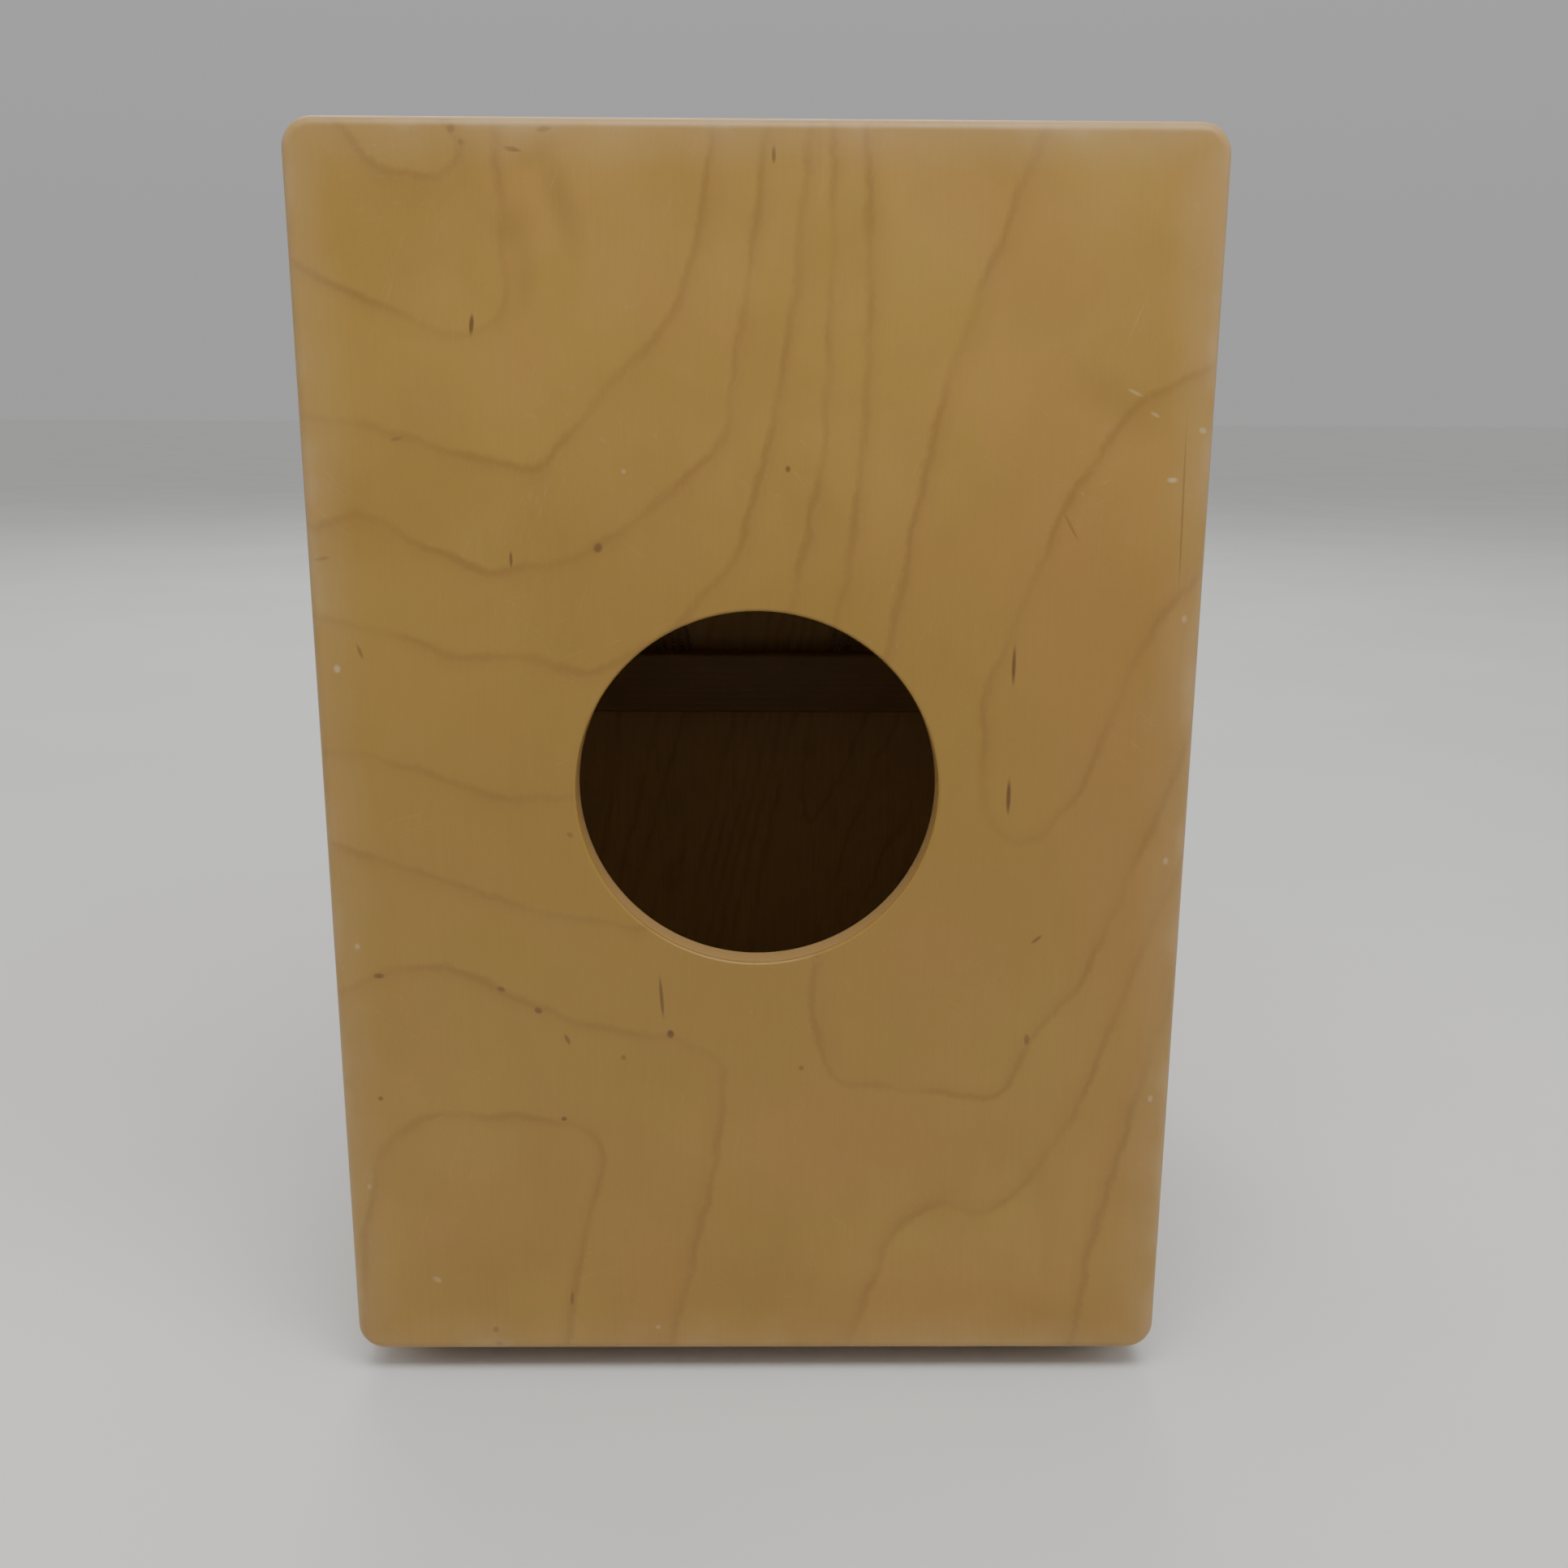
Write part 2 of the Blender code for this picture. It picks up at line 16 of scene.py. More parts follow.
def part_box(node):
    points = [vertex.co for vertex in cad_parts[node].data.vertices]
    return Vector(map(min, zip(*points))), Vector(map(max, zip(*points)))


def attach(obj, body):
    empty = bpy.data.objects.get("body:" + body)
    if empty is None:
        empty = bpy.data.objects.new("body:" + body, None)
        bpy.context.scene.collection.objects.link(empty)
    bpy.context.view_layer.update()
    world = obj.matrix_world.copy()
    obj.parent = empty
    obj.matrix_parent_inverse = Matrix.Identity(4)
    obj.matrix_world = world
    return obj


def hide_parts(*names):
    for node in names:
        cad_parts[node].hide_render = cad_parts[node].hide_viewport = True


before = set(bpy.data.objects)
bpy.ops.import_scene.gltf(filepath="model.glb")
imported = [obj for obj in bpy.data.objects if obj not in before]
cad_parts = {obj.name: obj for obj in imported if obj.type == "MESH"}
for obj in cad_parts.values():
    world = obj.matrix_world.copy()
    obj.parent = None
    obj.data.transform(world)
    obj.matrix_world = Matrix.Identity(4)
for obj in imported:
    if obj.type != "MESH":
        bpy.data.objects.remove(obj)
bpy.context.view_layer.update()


# -----------------------------------------------------------------------------
# Seat and base. Two sheets of 12 mm birch plywood, nine plies thick, glued over the ends of the side panels.
# Their grain runs from side to side, and their long outer edges are rounded over with a router. The outside
# has a clear satin lacquer, and the inside is bare.
# -----------------------------------------------------------------------------
CORNER_RADIUS = 0.010
PLIES = 9
PLY = 0.012 / PLIES
FIGURE_STEP = 0.0045
MILLIMETRES = 1000.0
SWELL_ACROSS = 250
SWELL_ALONG = 1150
ROOM_FOR_POINTS = 0.6
MERGE_WITHIN = 1e-7

HONEY = (0.334, 0.197, 0.0345, 1.0)
HONEY_DEEP = (0.290, 0.164, 0.0270, 1.0)
ROSE = (0.368, 0.188, 0.044, 1.0)
# Painted sheen along the edges, together with rubbed lacquer.
EDGE_SHEEN_AND_RUB_PALE = (0.405, 0.268, 0.125, 1.0)
RING_BROWN = (0.175, 0.092, 0.015, 1.0)
RING_RUST = (0.262, 0.136, 0.028, 1.0)
PLY_LONG = (0.420, 0.262, 0.105, 1.0)
PLY_END = (0.320, 0.188, 0.068, 1.0)
GLUE_BROWN = (0.160, 0.080, 0.028, 1.0)
BARE_BIRCH = (0.680, 0.480, 0.225, 1.0)
SCUFF_WHITE = (0.560, 0.440, 0.280, 1.0)


def put_in(tree, socket, value):
    """Give an input a value, or a link from another node."""
    if isinstance(value, bpy.types.NodeSocket):
        tree.links.new(value, socket)
    else:
        socket.default_value = value


def node(tree, kind, inputs=None, **settings):
    """Add a shader node, make its settings, and fill its inputs."""
    made = tree.nodes.new("ShaderNode" + kind)
    for key, value in settings.items():
        setattr(made, key, value)
    for key, value in (inputs or {}).items():
        put_in(tree, made.inputs[key], value)
    return made


def maths(tree, operation, first, second=0.0, third=0.0):
    """The result of one Math node."""
    return node(tree, "Math", {0: first, 1: second, 2: third}, operation=operation).outputs[0]


def times(tree, value, factor):
    """A value multiplied by a factor."""
    return maths(tree, "MULTIPLY", value, factor)


def fade(tree, value, start, end, low=0.0, high=1.0):
    """A smooth step from low to high as a value goes from start to end."""
    inputs = {"Value": value, "From Min": start, "From Max": end, "To Min": low, "To Max": high}
    return node(tree, "MapRange", inputs, interpolation_type="SMOOTHSTEP").outputs["Result"]


def tint(tree, share, first, second, kind="MIX"):
    """Two colours mixed by a share of the second."""
    return node(tree, "Mix", {0: share, 6: first, 7: second}, data_type="RGBA", blend_type=kind).outputs[2]


def stained(tree, colour, amount, strength, stain):
    """A colour stained where an amount is high, by no more than a strength."""
    return tint(tree, times(tree, amount, strength), colour, stain)


def vectors(tree, operation, first, second):
    """The result of one Vector Math node."""
    return node(tree, "VectorMath", {0: first, 1: second}, operation=operation).outputs[0]


def scaled(tree, vector, factors):
    """A vector with each part multiplied by its own factor."""
    return vectors(tree, "MULTIPLY", vector, factors)


def length(tree, vector):
    """How long a vector is."""
    return node(tree, "VectorMath", {0: vector}, operation="LENGTH").outputs["Value"]


def part_of(tree, vector, axis):
    """One part of a vector: X, Y or Z."""
    return node(tree, "SeparateXYZ", {0: vector}).outputs[axis]


def own_place(tree):
    """Where a point of the surface is, in its piece's own coordinates."""
    return node(tree, "TexCoord").outputs["Object"]


def add_bump(tree, shader, height, strength, distance):
    """Give a shader the small relief of a surface."""
    bump = {"Height": height, "Strength": strength, "Distance": distance}
    put_in(tree, shader.inputs["Normal"], node(tree, "Bump", bump).outputs["Normal"])


def noise(tree, vector, scale, detail=2.0, roughness=0.5):
    """The grey value of a noise texture."""
    inputs = {"Vector": vector, "Scale": scale, "Detail": detail, "Roughness": roughness}
    return node(tree, "TexNoise", inputs).outputs["Fac"]


def new_effect(name, inputs, outputs):
    """An empty node group with named sockets: inputs as (name, type, default), and outputs as names."""
    tree = bpy.data.node_groups.new(name, "ShaderNodeTree")
    for label, kind, value in inputs:
        socket = tree.interface.new_socket(label, in_out="INPUT", socket_type="NodeSocket" + kind)
        socket.default_value = value
    for label in outputs:
        tree.interface.new_socket(label, in_out="OUTPUT", socket_type="NodeSocketFloat")
    got = tree.nodes.new("NodeGroupInput").outputs
    put = tree.nodes.new("NodeGroupOutput").inputs
    return tree, got, put


def place_effect(tree, group, **inputs):
    """One use of a node group in a material."""
    made = node(tree, "Group", node_tree=group)
    for key, value in inputs.items():
        put_in(tree, made.inputs[key.capitalize()], value)
    return made.outputs


AT_ORIGIN = ("Position", "Vector", (0.0, 0.0, 0.0))


def make_pores():
    """Fine streaks and short open pores along the grain, which runs along Z of the position."""
    tree, got, put = new_effect("wood_pores", (AT_ORIGIN,), ("Streak", "Pore"))
    streak = noise(tree, scaled(tree, got["Position"], (1.0, 1.0, 0.045)), 700.0, 3.0, 0.6)
    put_in(tree, put["Streak"], fade(tree, streak, 0.25, 0.75))
    pore = noise(tree, scaled(tree, got["Position"], (1.0, 1.0, 0.09)), 2600.0, 1.0)
    put_in(tree, put["Pore"], fade(tree, pore, 0.60, 0.72))
    return tree


def make_mottle():
    """Broad soft changes of tone and of warmth in a veneer."""
    tree, got, put = new_effect("veneer_mottle", (AT_ORIGIN,), ("Tone", "Warmth"))
    put_in(tree, put["Tone"], fade(tree, noise(tree, got["Position"], 17.0, 3.0), 0.30, 0.70))
    warmth = noise(tree, vectors(tree, "ADD", got["Position"], (3.1, 1.7, 5.3)), 24.0, 2.0)
    put_in(tree, put["Warmth"], fade(tree, warmth, 0.42, 0.70))
    return tree


def make_growth_lines():
    """Thin brown lines where the growth rings surface, wavering a little, with a soft shade on one side."""
    inputs = (AT_ORIGIN, ("Growth", "Float", 0.5), ("Slope", "Float", 0.05))
    tree, got, put = new_effect("growth_lines", inputs, ("Line", "Shade"))
    place = got["Position"]
    waver = maths(tree, "SUBTRACT", noise(tree, place, 75.0, 4.0, 0.6), 0.5)
    tremble = maths(tree, "SUBTRACT", noise(tree, place, 420.0, 1.0), 0.5)
    sway = maths(tree, "MULTIPLY_ADD", waver, 6.0, times(tree, tremble, 1.6))
    ring = maths(tree, "MULTIPLY_ADD", sway, got["Slope"], got["Growth"])
    past = maths(tree, "SUBTRACT", ring, maths(tree, "ROUND", ring))
    past = maths(tree, "DIVIDE", past, maths(tree, "MAXIMUM", got["Slope"], 0.004))
    core = fade(tree, maths(tree, "ABSOLUTE", past), 0.0, 2.40, 1.0, 0.0)
    shade = times(tree, fade(tree, past, 0.0, 7.5, 1.0, 0.0), fade(tree, past, -2.6, 0.6))
    strength = fade(tree, noise(tree, place, 26.0, 2.0), 0.32, 0.62, 0.35, 1.0)
    put_in(tree, put["Line"], times(tree, core, strength))
    put_in(tree, put["Shade"], times(tree, shade, strength))
    return tree


def make_ply_stack():
    """The plies that show across a board's thickness: its two face veneers, the cross plies and the glue."""
    inputs = (("Depth", "Float", 0.0), ("Ply", "Float", PLY), ("Count", "Float", 9.0))
    tree, got, put = new_effect("ply_stack", inputs, ("Face", "Back", "Cross", "Glue"))
    plies = maths(tree, "DIVIDE", got["Depth"], got["Ply"])
    whole = maths(tree, "FLOOR", plies)
    part = maths(tree, "SUBTRACT", plies, whole)
    put_in(tree, put["Cross"], maths(tree, "MODULO", whole, 2.0))
    from_middle = maths(tree, "ABSOLUTE", maths(tree, "SUBTRACT", part, 0.5))
    put_in(tree, put["Glue"], fade(tree, from_middle, 0.44, 0.50))
    put_in(tree, put["Face"], fade(tree, plies, 0.80, 0.95, 1.0, 0.0))
    left = maths(tree, "SUBTRACT", got["Count"], plies)
    put_in(tree, put["Back"], fade(tree, left, 0.15, 0.25, 1.0, 0.0))
    return tree


def make_edge_sheen_and_wear():
    """Painted sheen and rubbed lacquer: a ragged paler strip along a board's four edges, where light catches
    the rounded edge and hands rub.
    """
    inputs = (AT_ORIGIN, ("Low", "Vector", (0.0, 0.0, 0.0)), ("High", "Vector", (1.0, 1.0, 1.0)))
    tree, got, put = new_effect("edge_sheen_and_wear", inputs, ("Pale",))
    place = got["Position"]
    from_low = vectors(tree, "SUBTRACT", place, got["Low"])
    from_high = vectors(tree, "SUBTRACT", got["High"], place)
    least = vectors(tree, "MINIMUM", from_low, from_high)
    reach = maths(tree, "MINIMUM", part_of(tree, least, "X"), part_of(tree, least, "Z"))
    ragged = maths(tree, "MULTIPLY_ADD", noise(tree, place, 45.0, 3.0), 0.016, reach)
    strip = fade(tree, ragged, 0.005, 0.028, 1.0, 0.0)
    rim = fade(tree, ragged, 0.006, 0.013, 1.0, 0.0)
    put_in(tree, put["Pale"], maths(tree, "MULTIPLY_ADD", rim, 0.40, times(tree, strip, 0.35)))
    return tree


def make_scuffs():
    """Faint hair scratches that cross each other, and soft smudges where hands have been."""
    tree, got, put = new_effect("lacquer_scuffs", (AT_ORIGIN,), ("Scratch", "Smudge"))
    scratches = 0.0
    for turn, stretch in ((0.35, 620.0), (-0.9, 540.0), (1.25, 700.0)):
        turned = {"Vector": got["Position"], "Rotation": (0.0, turn, turn)}
        turned_place = node(tree, "VectorRotate", turned, rotation_type="EULER_XYZ").outputs[0]
        hair = noise(tree, scaled(tree, turned_place, (1.0, 1.0, 0.03)), stretch, 0.0)
        hair = fade(tree, maths(tree, "ABSOLUTE", maths(tree, "SUBTRACT", hair, 0.5)), 0.0, 0.006, 1.0, 0.0)
        here = fade(tree, noise(tree, turned_place, 21.0, 1.0), 0.56, 0.66)
        scratches = maths(tree, "MULTIPLY_ADD", hair, here, scratches)
    put_in(tree, put["Scratch"], maths(tree, "MINIMUM", scratches, 1.0))
    put_in(tree, put["Smudge"], fade(tree, noise(tree, got["Position"], 33.0, 4.0, 0.6), 0.40, 0.66))
    return tree


wood_pores = make_pores()
veneer_mottle = make_mottle()
growth_lines = make_growth_lines()
ply_stack = make_ply_stack()
edge_sheen_and_wear = make_edge_sheen_and_wear()
lacquer_scuffs = make_scuffs()


def along_grain(tree, axes):
    """A surface's place as across the grain, into the board and along the grain, in the axes named."""
    split = node(tree, "SeparateXYZ", {0: own_place(tree)}).outputs
    return node(tree, "CombineXYZ", {i: split[axis] for i, axis in enumerate(axes)}).outputs[0]


def new_finish(name):
    """A material with its node tree and its Principled shader."""
    finish = bpy.data.materials.new(name)
    finish.use_nodes = True
    return finish, finish.node_tree, finish.node_tree.nodes["Principled BSDF"]


def birch_ply(name, axes, face, towards, corners, ply=PLY, count=9.0, add_marks=None):
    """Lacquered birch plywood on a board: its axes, where its face is and towards which side, and its box."""
    finish, tree, shader = new_finish(name)
    place = along_grain(tree, axes)
    low_corner, high_corner = ([corner["XYZ".index(axis)] for axis in axes] for corner in corners)
    sheen_and_rub = place_effect(tree, edge_sheen_and_wear, position=place, low=low_corner, high=high_corner)
    inward = part_of(tree, place, "Y")
    depth = times(tree, maths(tree, "SUBTRACT", face, inward), towards)
    stack = place_effect(tree, ply_stack, depth=depth, ply=ply, count=count)
    pores = place_effect(tree, wood_pores, position=place)
    mottle = place_effect(tree, veneer_mottle, position=place)
    scuffs = place_effect(tree, lacquer_scuffs, position=place)
    growth = node(tree, "Attribute", attribute_name="growth").outputs["Fac"]
    slope = node(tree, "Attribute", attribute_name="slope").outputs["Fac"]
    rings = place_effect(tree, growth_lines, position=place, growth=growth, slope=slope)

    veneer = tint(tree, mottle["Tone"], HONEY_DEEP, HONEY)
    veneer = stained(tree, veneer, mottle["Warmth"], 0.38, ROSE)
    if add_marks:
        veneer = add_marks(tree, place, veneer)
    veneer = stained(tree, veneer, pores["Streak"], 0.07, RING_BROWN)
    veneer = stained(tree, veneer, rings["Shade"], 0.42, RING_RUST)
    veneer = stained(tree, veneer, rings["Line"], 0.34, RING_BROWN)
    # Painted sheen: the edges are paler, as where light catches the rounded edges, along with lacquer rubbed
    # by hands.
    veneer = tint(tree, sheen_and_rub["Pale"], veneer, EDGE_SHEEN_AND_RUB_PALE)
    veneer = stained(tree, veneer, scuffs["Scratch"], 0.10, SCUFF_WHITE)

    edge = stained(tree, PLY_LONG, stack["Cross"], 0.45, PLY_END)
    edge = stained(tree, edge, pores["Pore"], 0.25, RING_BROWN)
    edge = stained(tree, edge, stack["Glue"], 0.45, GLUE_BROWN)

    bare = stained(tree, BARE_BIRCH, pores["Streak"], 0.16, HONEY)
    bare = stained(tree, bare, rings["Line"], 0.22, ROSE)
    colour = tint(tree, stack["Face"], edge, veneer)
    put_in(tree, shader.inputs["Base Color"], tint(tree, stack["Back"], colour, bare))

    rough = maths(tree, "MULTIPLY_ADD", pores["Streak"], 0.06, 0.38)
    rough = maths(tree, "MULTIPLY_ADD", scuffs["Smudge"], 0.07, rough)
    rough = maths(tree, "MULTIPLY_ADD", sheen_and_rub["Pale"], 0.30, rough)
    rough = maths(tree, "MULTIPLY_ADD", scuffs["Scratch"], 0.12, rough)
    put_in(tree, shader.inputs["Roughness"], maths(tree, "MULTIPLY_ADD", stack["Back"], 0.28, rough))
    relief = maths(tree, "ADD", pores["Streak"], times(tree, pores["Pore"], 1.5))
    relief = maths(tree, "ADD", relief, rings["Line"])
    add_bump(tree, shader, times(tree, relief, -1.0), 0.12, 0.0002)
    shader.inputs["Coat Roughness"].default_value = 0.30
    put_in(tree, shader.inputs["Coat Weight"], maths(tree, "MULTIPLY_ADD", stack["Back"], -0.15, 0.15))
    return finish


def rolling_figure(seed, axes, rings=1.5):
    """The growth surface of a rotary-cut veneer: swells that are longer along the grain than across it."""
    chance = np.random.default_rng(seed)
    swells = []
    for size in (1.0, 0.9, 0.55, 0.45, 0.28, 0.24):
        across = math.tau / (SWELL_ACROSS * size) * chance.choice((-1, 1)) * chance.uniform(0.7, 1.2)
        along = math.tau / (SWELL_ALONG * size) * chance.uniform(0.6, 1.3)
        through = chance.uniform(0.2, 0.5)
        swells.append((rings * size, across, through, along, chance.uniform(0, math.tau)))

    def growth(points):
        a, d, b = (points[:, axis] * MILLIMETRES for axis in axes)
        total = 0.5
        for height, across, through, along, phase in swells:
            total = total + height * np.sin(across * a + through * d + along * b + phase)
        return total

    return growth


def lay_figure(mesh, figure, axes):
    """Store the figure on a board's points: which ring surfaces there, and its change in a millimetre."""
    points = np.empty(len(mesh.vertices) * 3)
    mesh.vertices.foreach_get("co", points)
    points = points.reshape(-1, 3)
    here = figure(points)
    steps = []
    for axis in (axes[0], axes[2]):
        nearby = points.copy()
        nearby[:, axis] += 1 / MILLIMETRES
        steps.append(figure(nearby) - here)
    for name, values in (("growth", here), ("slope", np.hypot(*steps))):
        layer = mesh.attributes.new(name, "FLOAT", "POINT")
        layer.data.foreach_set("value", values.astype(np.float32))


def even(start, end, step):
    """Evenly spaced values from start to end, about a step apart."""
    count = max(1, round(abs(end - start) / step))
    return [start + (end - start) * i / count for i in range(count + 1)]


def arc(centre_a, centre_b, radius, start, end, steps):
    """Points on an arc in a plane with axes a and b, from one angle in degrees to another."""
    angles = [math.radians(start + (end - start) * i / steps) for i in range(steps + 1)]
    return [(centre_a + radius * math.cos(angle), centre_b + radius * math.sin(angle)) for angle in angles]


def square_outline(low, high, drawn_in=0.0):
    """A rectangle between two corners, drawn in at its ends along a, with points all along its sides."""
    (low_a, low_b), (high_a, high_b) = low, high
    along_a = [low_a + drawn_in + (a - low_a) * (1 - 2 * drawn_in / (high_a - low_a))
               for a in even(low_a, high_a, FIGURE_STEP)]
    along_b = even(low_b, high_b, FIGURE_STEP)
    points = [(a, low_b) for a in along_a[:-1]]
    points += [(along_a[-1], b) for b in along_b[:-1]]
    points += [(a, high_b) for a in reversed(along_a[1:])]
    points += [(along_a[0], b) for b in reversed(along_b[1:])]
    return points


def skin(shape, rings, closed=False):
    """Skin a row of closed rings of points that have equal counts, and close its two ends if asked."""
    for ring, following in zip(rings, rings[1:]):
        for i in range(len(ring)):
            j = (i + 1) % len(ring)
            shape.faces.new((ring[i], ring[j], following[j], following[i]))
    if closed:
        shape.faces.new(rings[0])
        shape.faces.new(rings[-1])


def fill_flat(shape, set_point, border, rims, spacing):
    """Fill the flat inside a border, and outside the rims of holes, with even triangles."""
    given = [spot for ring in (border, *rims) for spot in ring]
    flat = np.array([spot[1] for spot in given])
    low = flat.min(axis=0)
    high = flat.max(axis=0)
    grid = np.array([(a, b) for a in even(low[0], high[0], spacing) for b in even(low[1], high[1], spacing)])
    clear = np.linalg.norm(grid[:, None] - flat[None], axis=2).min(axis=1) > ROOM_FOR_POINTS * spacing
    holes = []
    for rim in rims:
        centre = np.mean([spot[1] for spot in rim], axis=0)
        holes.append((centre, np.linalg.norm(centre - rim[0][1])))
    for centre, radius in holes:
        clear &= np.linalg.norm(grid - centre, axis=1) > radius
    start = 0
    edges = []
    for ring in (border, *rims):
        edges += [(start + i, start + (i + 1) % len(ring)) for i in range(len(ring))]
        start += len(ring)
    wanted = [Vector(spot) for spot in (*flat, *grid[clear])]
    points, _, faces, origins, _, _ = delaunay_2d_cdt(wanted, edges, [], 1, MERGE_WITHIN)
    corners = {}
    for face in faces:
        middle = sum((points[i] for i in face), Vector((0.0, 0.0))) / len(face)
        if any((middle - Vector(centre)).length < radius for centre, radius in holes):
            continue
        for i in face:
            if i not in corners:
                known = [k for k in origins[i] if k < len(given)]
                corners[i] = given[known[0]][0] if known else set_point(points[i])
        shape.faces.new([corners[i] for i in face])


def board_mesh(name, point_at, outlines, holes=(), back_step=3 * FIGURE_STEP):
    """A board skinned over outlines from its back to its face, with round holes, and its two flats filled."""
    shape = bmesh.new()

    def ring_at(level, outline):
        return [(shape.verts.new(point_at(a, b, level)), (a, b)) for a, b in outline]

    sides = [ring_at(level, outline) for level, outline in outlines]
    skin(shape, [[spot[0] for spot in ring] for ring in sides])
    back_rims = []
    face_rims = []
    for (a, b), steps, profile in holes:
        rings = [ring_at(level, arc(a, b, radius, 0, 360, steps)[:-1]) for level, radius in profile]
        skin(shape, [[spot[0] for spot in ring] for ring in rings])
        back_rims.append(rings[0])
        face_rims.append(rings[-1])
    back_level = outlines[0][0]
    face_level = outlines[-1][0]
    for level, border, rims, spacing in (
        (back_level, sides[0], back_rims, back_step),
        (face_level, sides[-1], face_rims, FIGURE_STEP),
    ):
        fill_flat(shape, lambda p: shape.verts.new(point_at(p[0], p[1], level)), border, rims, spacing)
    return finish_mesh(name, shape)


def finish_mesh(name, shape, sharp=40):
    """Turn a bmesh into a smooth-shaded mesh whose edges over an angle stay sharp."""
    bmesh.ops.recalc_face_normals(shape, faces=shape.faces)
    mesh = bpy.data.meshes.new(name)
    shape.to_mesh(mesh)
    shape.free()
    mesh.shade_smooth()
    mesh.set_sharp_from_angle(angle=math.radians(sharp))
    return mesh


def add_piece(name, mesh, finish, nodes=(), body="box", place=None):
    """Link a mesh as a piece, put it in its place, hang it on the empty of the body that it rides on, and
    hide the nodes that it stands for.
    """
    piece = bpy.data.objects.new(name, mesh)
    bpy.context.scene.collection.objects.link(piece)
    if finish.name not in mesh.materials:
        mesh.materials.append(finish)
    if place is not None:
        piece.matrix_world = place
    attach(piece, body)
    if nodes:
        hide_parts(*nodes)
    return piece


for part_name, node_name, up, seed in (
    ("seat_board", "seat_panel", 1, 11),
    ("base_board", "base_panel", -1, 12),
):
    low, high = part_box(node_name)
    outside = high[2] if up > 0 else low[2]
    inside = low[2] if up > 0 else high[2]
    ends = ((low[0], low[1]), (high[0], high[1]))
    outlines = [(inside, square_outline(*ends)), (outside - up * CORNER_RADIUS, square_outline(*ends))]
    for level, drawn_in in arc(0.0, CORNER_RADIUS, CORNER_RADIUS, 270, 360, 14)[1:]:
        outlines.append((outside - up * (CORNER_RADIUS - level), square_outline(*ends, drawn_in)))
    mesh = board_mesh(part_name, lambda a, b, level: (a, b, level), outlines)
    lay_figure(mesh, rolling_figure(seed, (1, 2, 0)), (1, 2, 0))
    finish = birch_ply(part_name + "_birch", ("Y", "Z", "X"), outside, up, (low, high))
    add_piece(part_name, mesh, finish, (node_name,))


# -----------------------------------------------------------------------------
# Side panels. The same plywood with its grain upright, glued between the seat and the base. Each has one
# countersunk hole a little below its middle, behind the tapa, for the screw that the snare bar turns on.
# -----------------------------------------------------------------------------
PIVOT_HEAD_RADIUS = 0.0044
PIVOT_HEAD_RIM = 0.0003
PIVOT_HEAD = 0.0023
PIVOT_SHANK_RADIUS = 0.0022
FIT = 0.0002
HOLE_LIP = 0.0001

pivot_low, pivot_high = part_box("pivot_screw_left")
PIVOT_Y = (pivot_low[1] + pivot_high[1]) / 2
PIVOT_Z = (pivot_low[2] + pivot_high[2]) / 2


def countersunk_hole(centre, steps, face, back, towards, head_radius, shank_radius, head):
    """The rim of a countersunk hole at each level, from the back of a board to its face."""
    wide = head_radius + FIT
    narrow = shank_radius + FIT
    profile = [(back, narrow), (face - towards * head, narrow)]
    profile += [(face - towards * (PIVOT_HEAD_RIM + FIT), wide), (face - towards * HOLE_LIP, wide)]
    profile.append((face, wide + HOLE_LIP))
    return centre, steps, profile


for part_name, node_name, hand, seed in (
    ("left_side_board", "left_side_panel", 1, 21),
    ("right_side_board", "right_side_panel", -1, 22),
):
    low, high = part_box(node_name)
    outside = high[0] if hand > 0 else low[0]
    inside = low[0] if hand > 0 else high[0]
    ends = ((low[1], low[2]), (high[1], high[2]))
    hole = countersunk_hole(
        (PIVOT_Y, PIVOT_Z), 40, outside, inside, hand, PIVOT_HEAD_RADIUS, PIVOT_SHANK_RADIUS, PIVOT_HEAD
    )
    outlines = [(inside, square_outline(*ends)), (outside, square_outline(*ends))]
    mesh = board_mesh(part_name, lambda a, b, level: (level, a, b), outlines, (hole,))
    lay_figure(mesh, rolling_figure(seed, (1, 0, 2)), (1, 0, 2))
    finish = birch_ply(part_name + "_birch", ("Y", "X", "Z"), outside, hand, (low, high))
    add_piece(part_name, mesh, finish, (node_name,))


# -----------------------------------------------------------------------------
# Glue blocks. Four three-cornered strips of planed softwood in the long inner corners, set in white glue that
# has squeezed out in beads along both legs. They stop short of the tapa so that it can ring.
# -----------------------------------------------------------------------------
GLUE_LEG = 0.020
GLUE_NOSE = 0.0015
GLUE_ROUNDING = (0.0003, 0.0004, 0.0005, 0.0005, 0.0004)
GLUE_END = 0.0004
GLUE_END_INSET = 0.0003
GLUE_STEP = 0.012
BEAD_RADIUS = 0.0013
BEAD_STEP = 0.0025
BEAD_END_GAP = 0.002
BEAD_SPREAD = 1.3
SPRUCE = (0.560, 0.390, 0.200, 1.0)
SPRUCE_LATE = (0.380, 0.215, 0.085, 1.0)
DRY_GLUE = (0.480, 0.330, 0.140, 1.0)


def make_sawn_rings():
    """Growth rings cut through along a sawn stick: the late wood of each, darker towards its outside."""
    inputs = (AT_ORIGIN, ("Pith", "Vector", (0.03, 0.05, 0.0)), ("Spacing", "Float", 0.0022))
    tree, got, put = new_effect("sawn_rings", inputs, ("Late",))
    bend = noise(tree, scaled(tree, got["Position"], (1.0, 1.0, 0.12)), 22.0, 2.0)
    away = vectors(tree, "SUBTRACT", got["Position"], got["Pith"])
    radius = length(tree, scaled(tree, away, (1.0, 1.0, 0.0)))
    radius = maths(tree, "MULTIPLY_ADD", bend, 0.006, radius)
    ring = maths(tree, "FRACT", maths(tree, "DIVIDE", radius, got["Spacing"]))
    late = times(tree, fade(tree, ring, 0.35, 0.86), fade(tree, ring, 0.90, 1.0, 1.0, 0.0))
    put_in(tree, put["Late"], late)
    return tree


sawn_rings = make_sawn_rings()


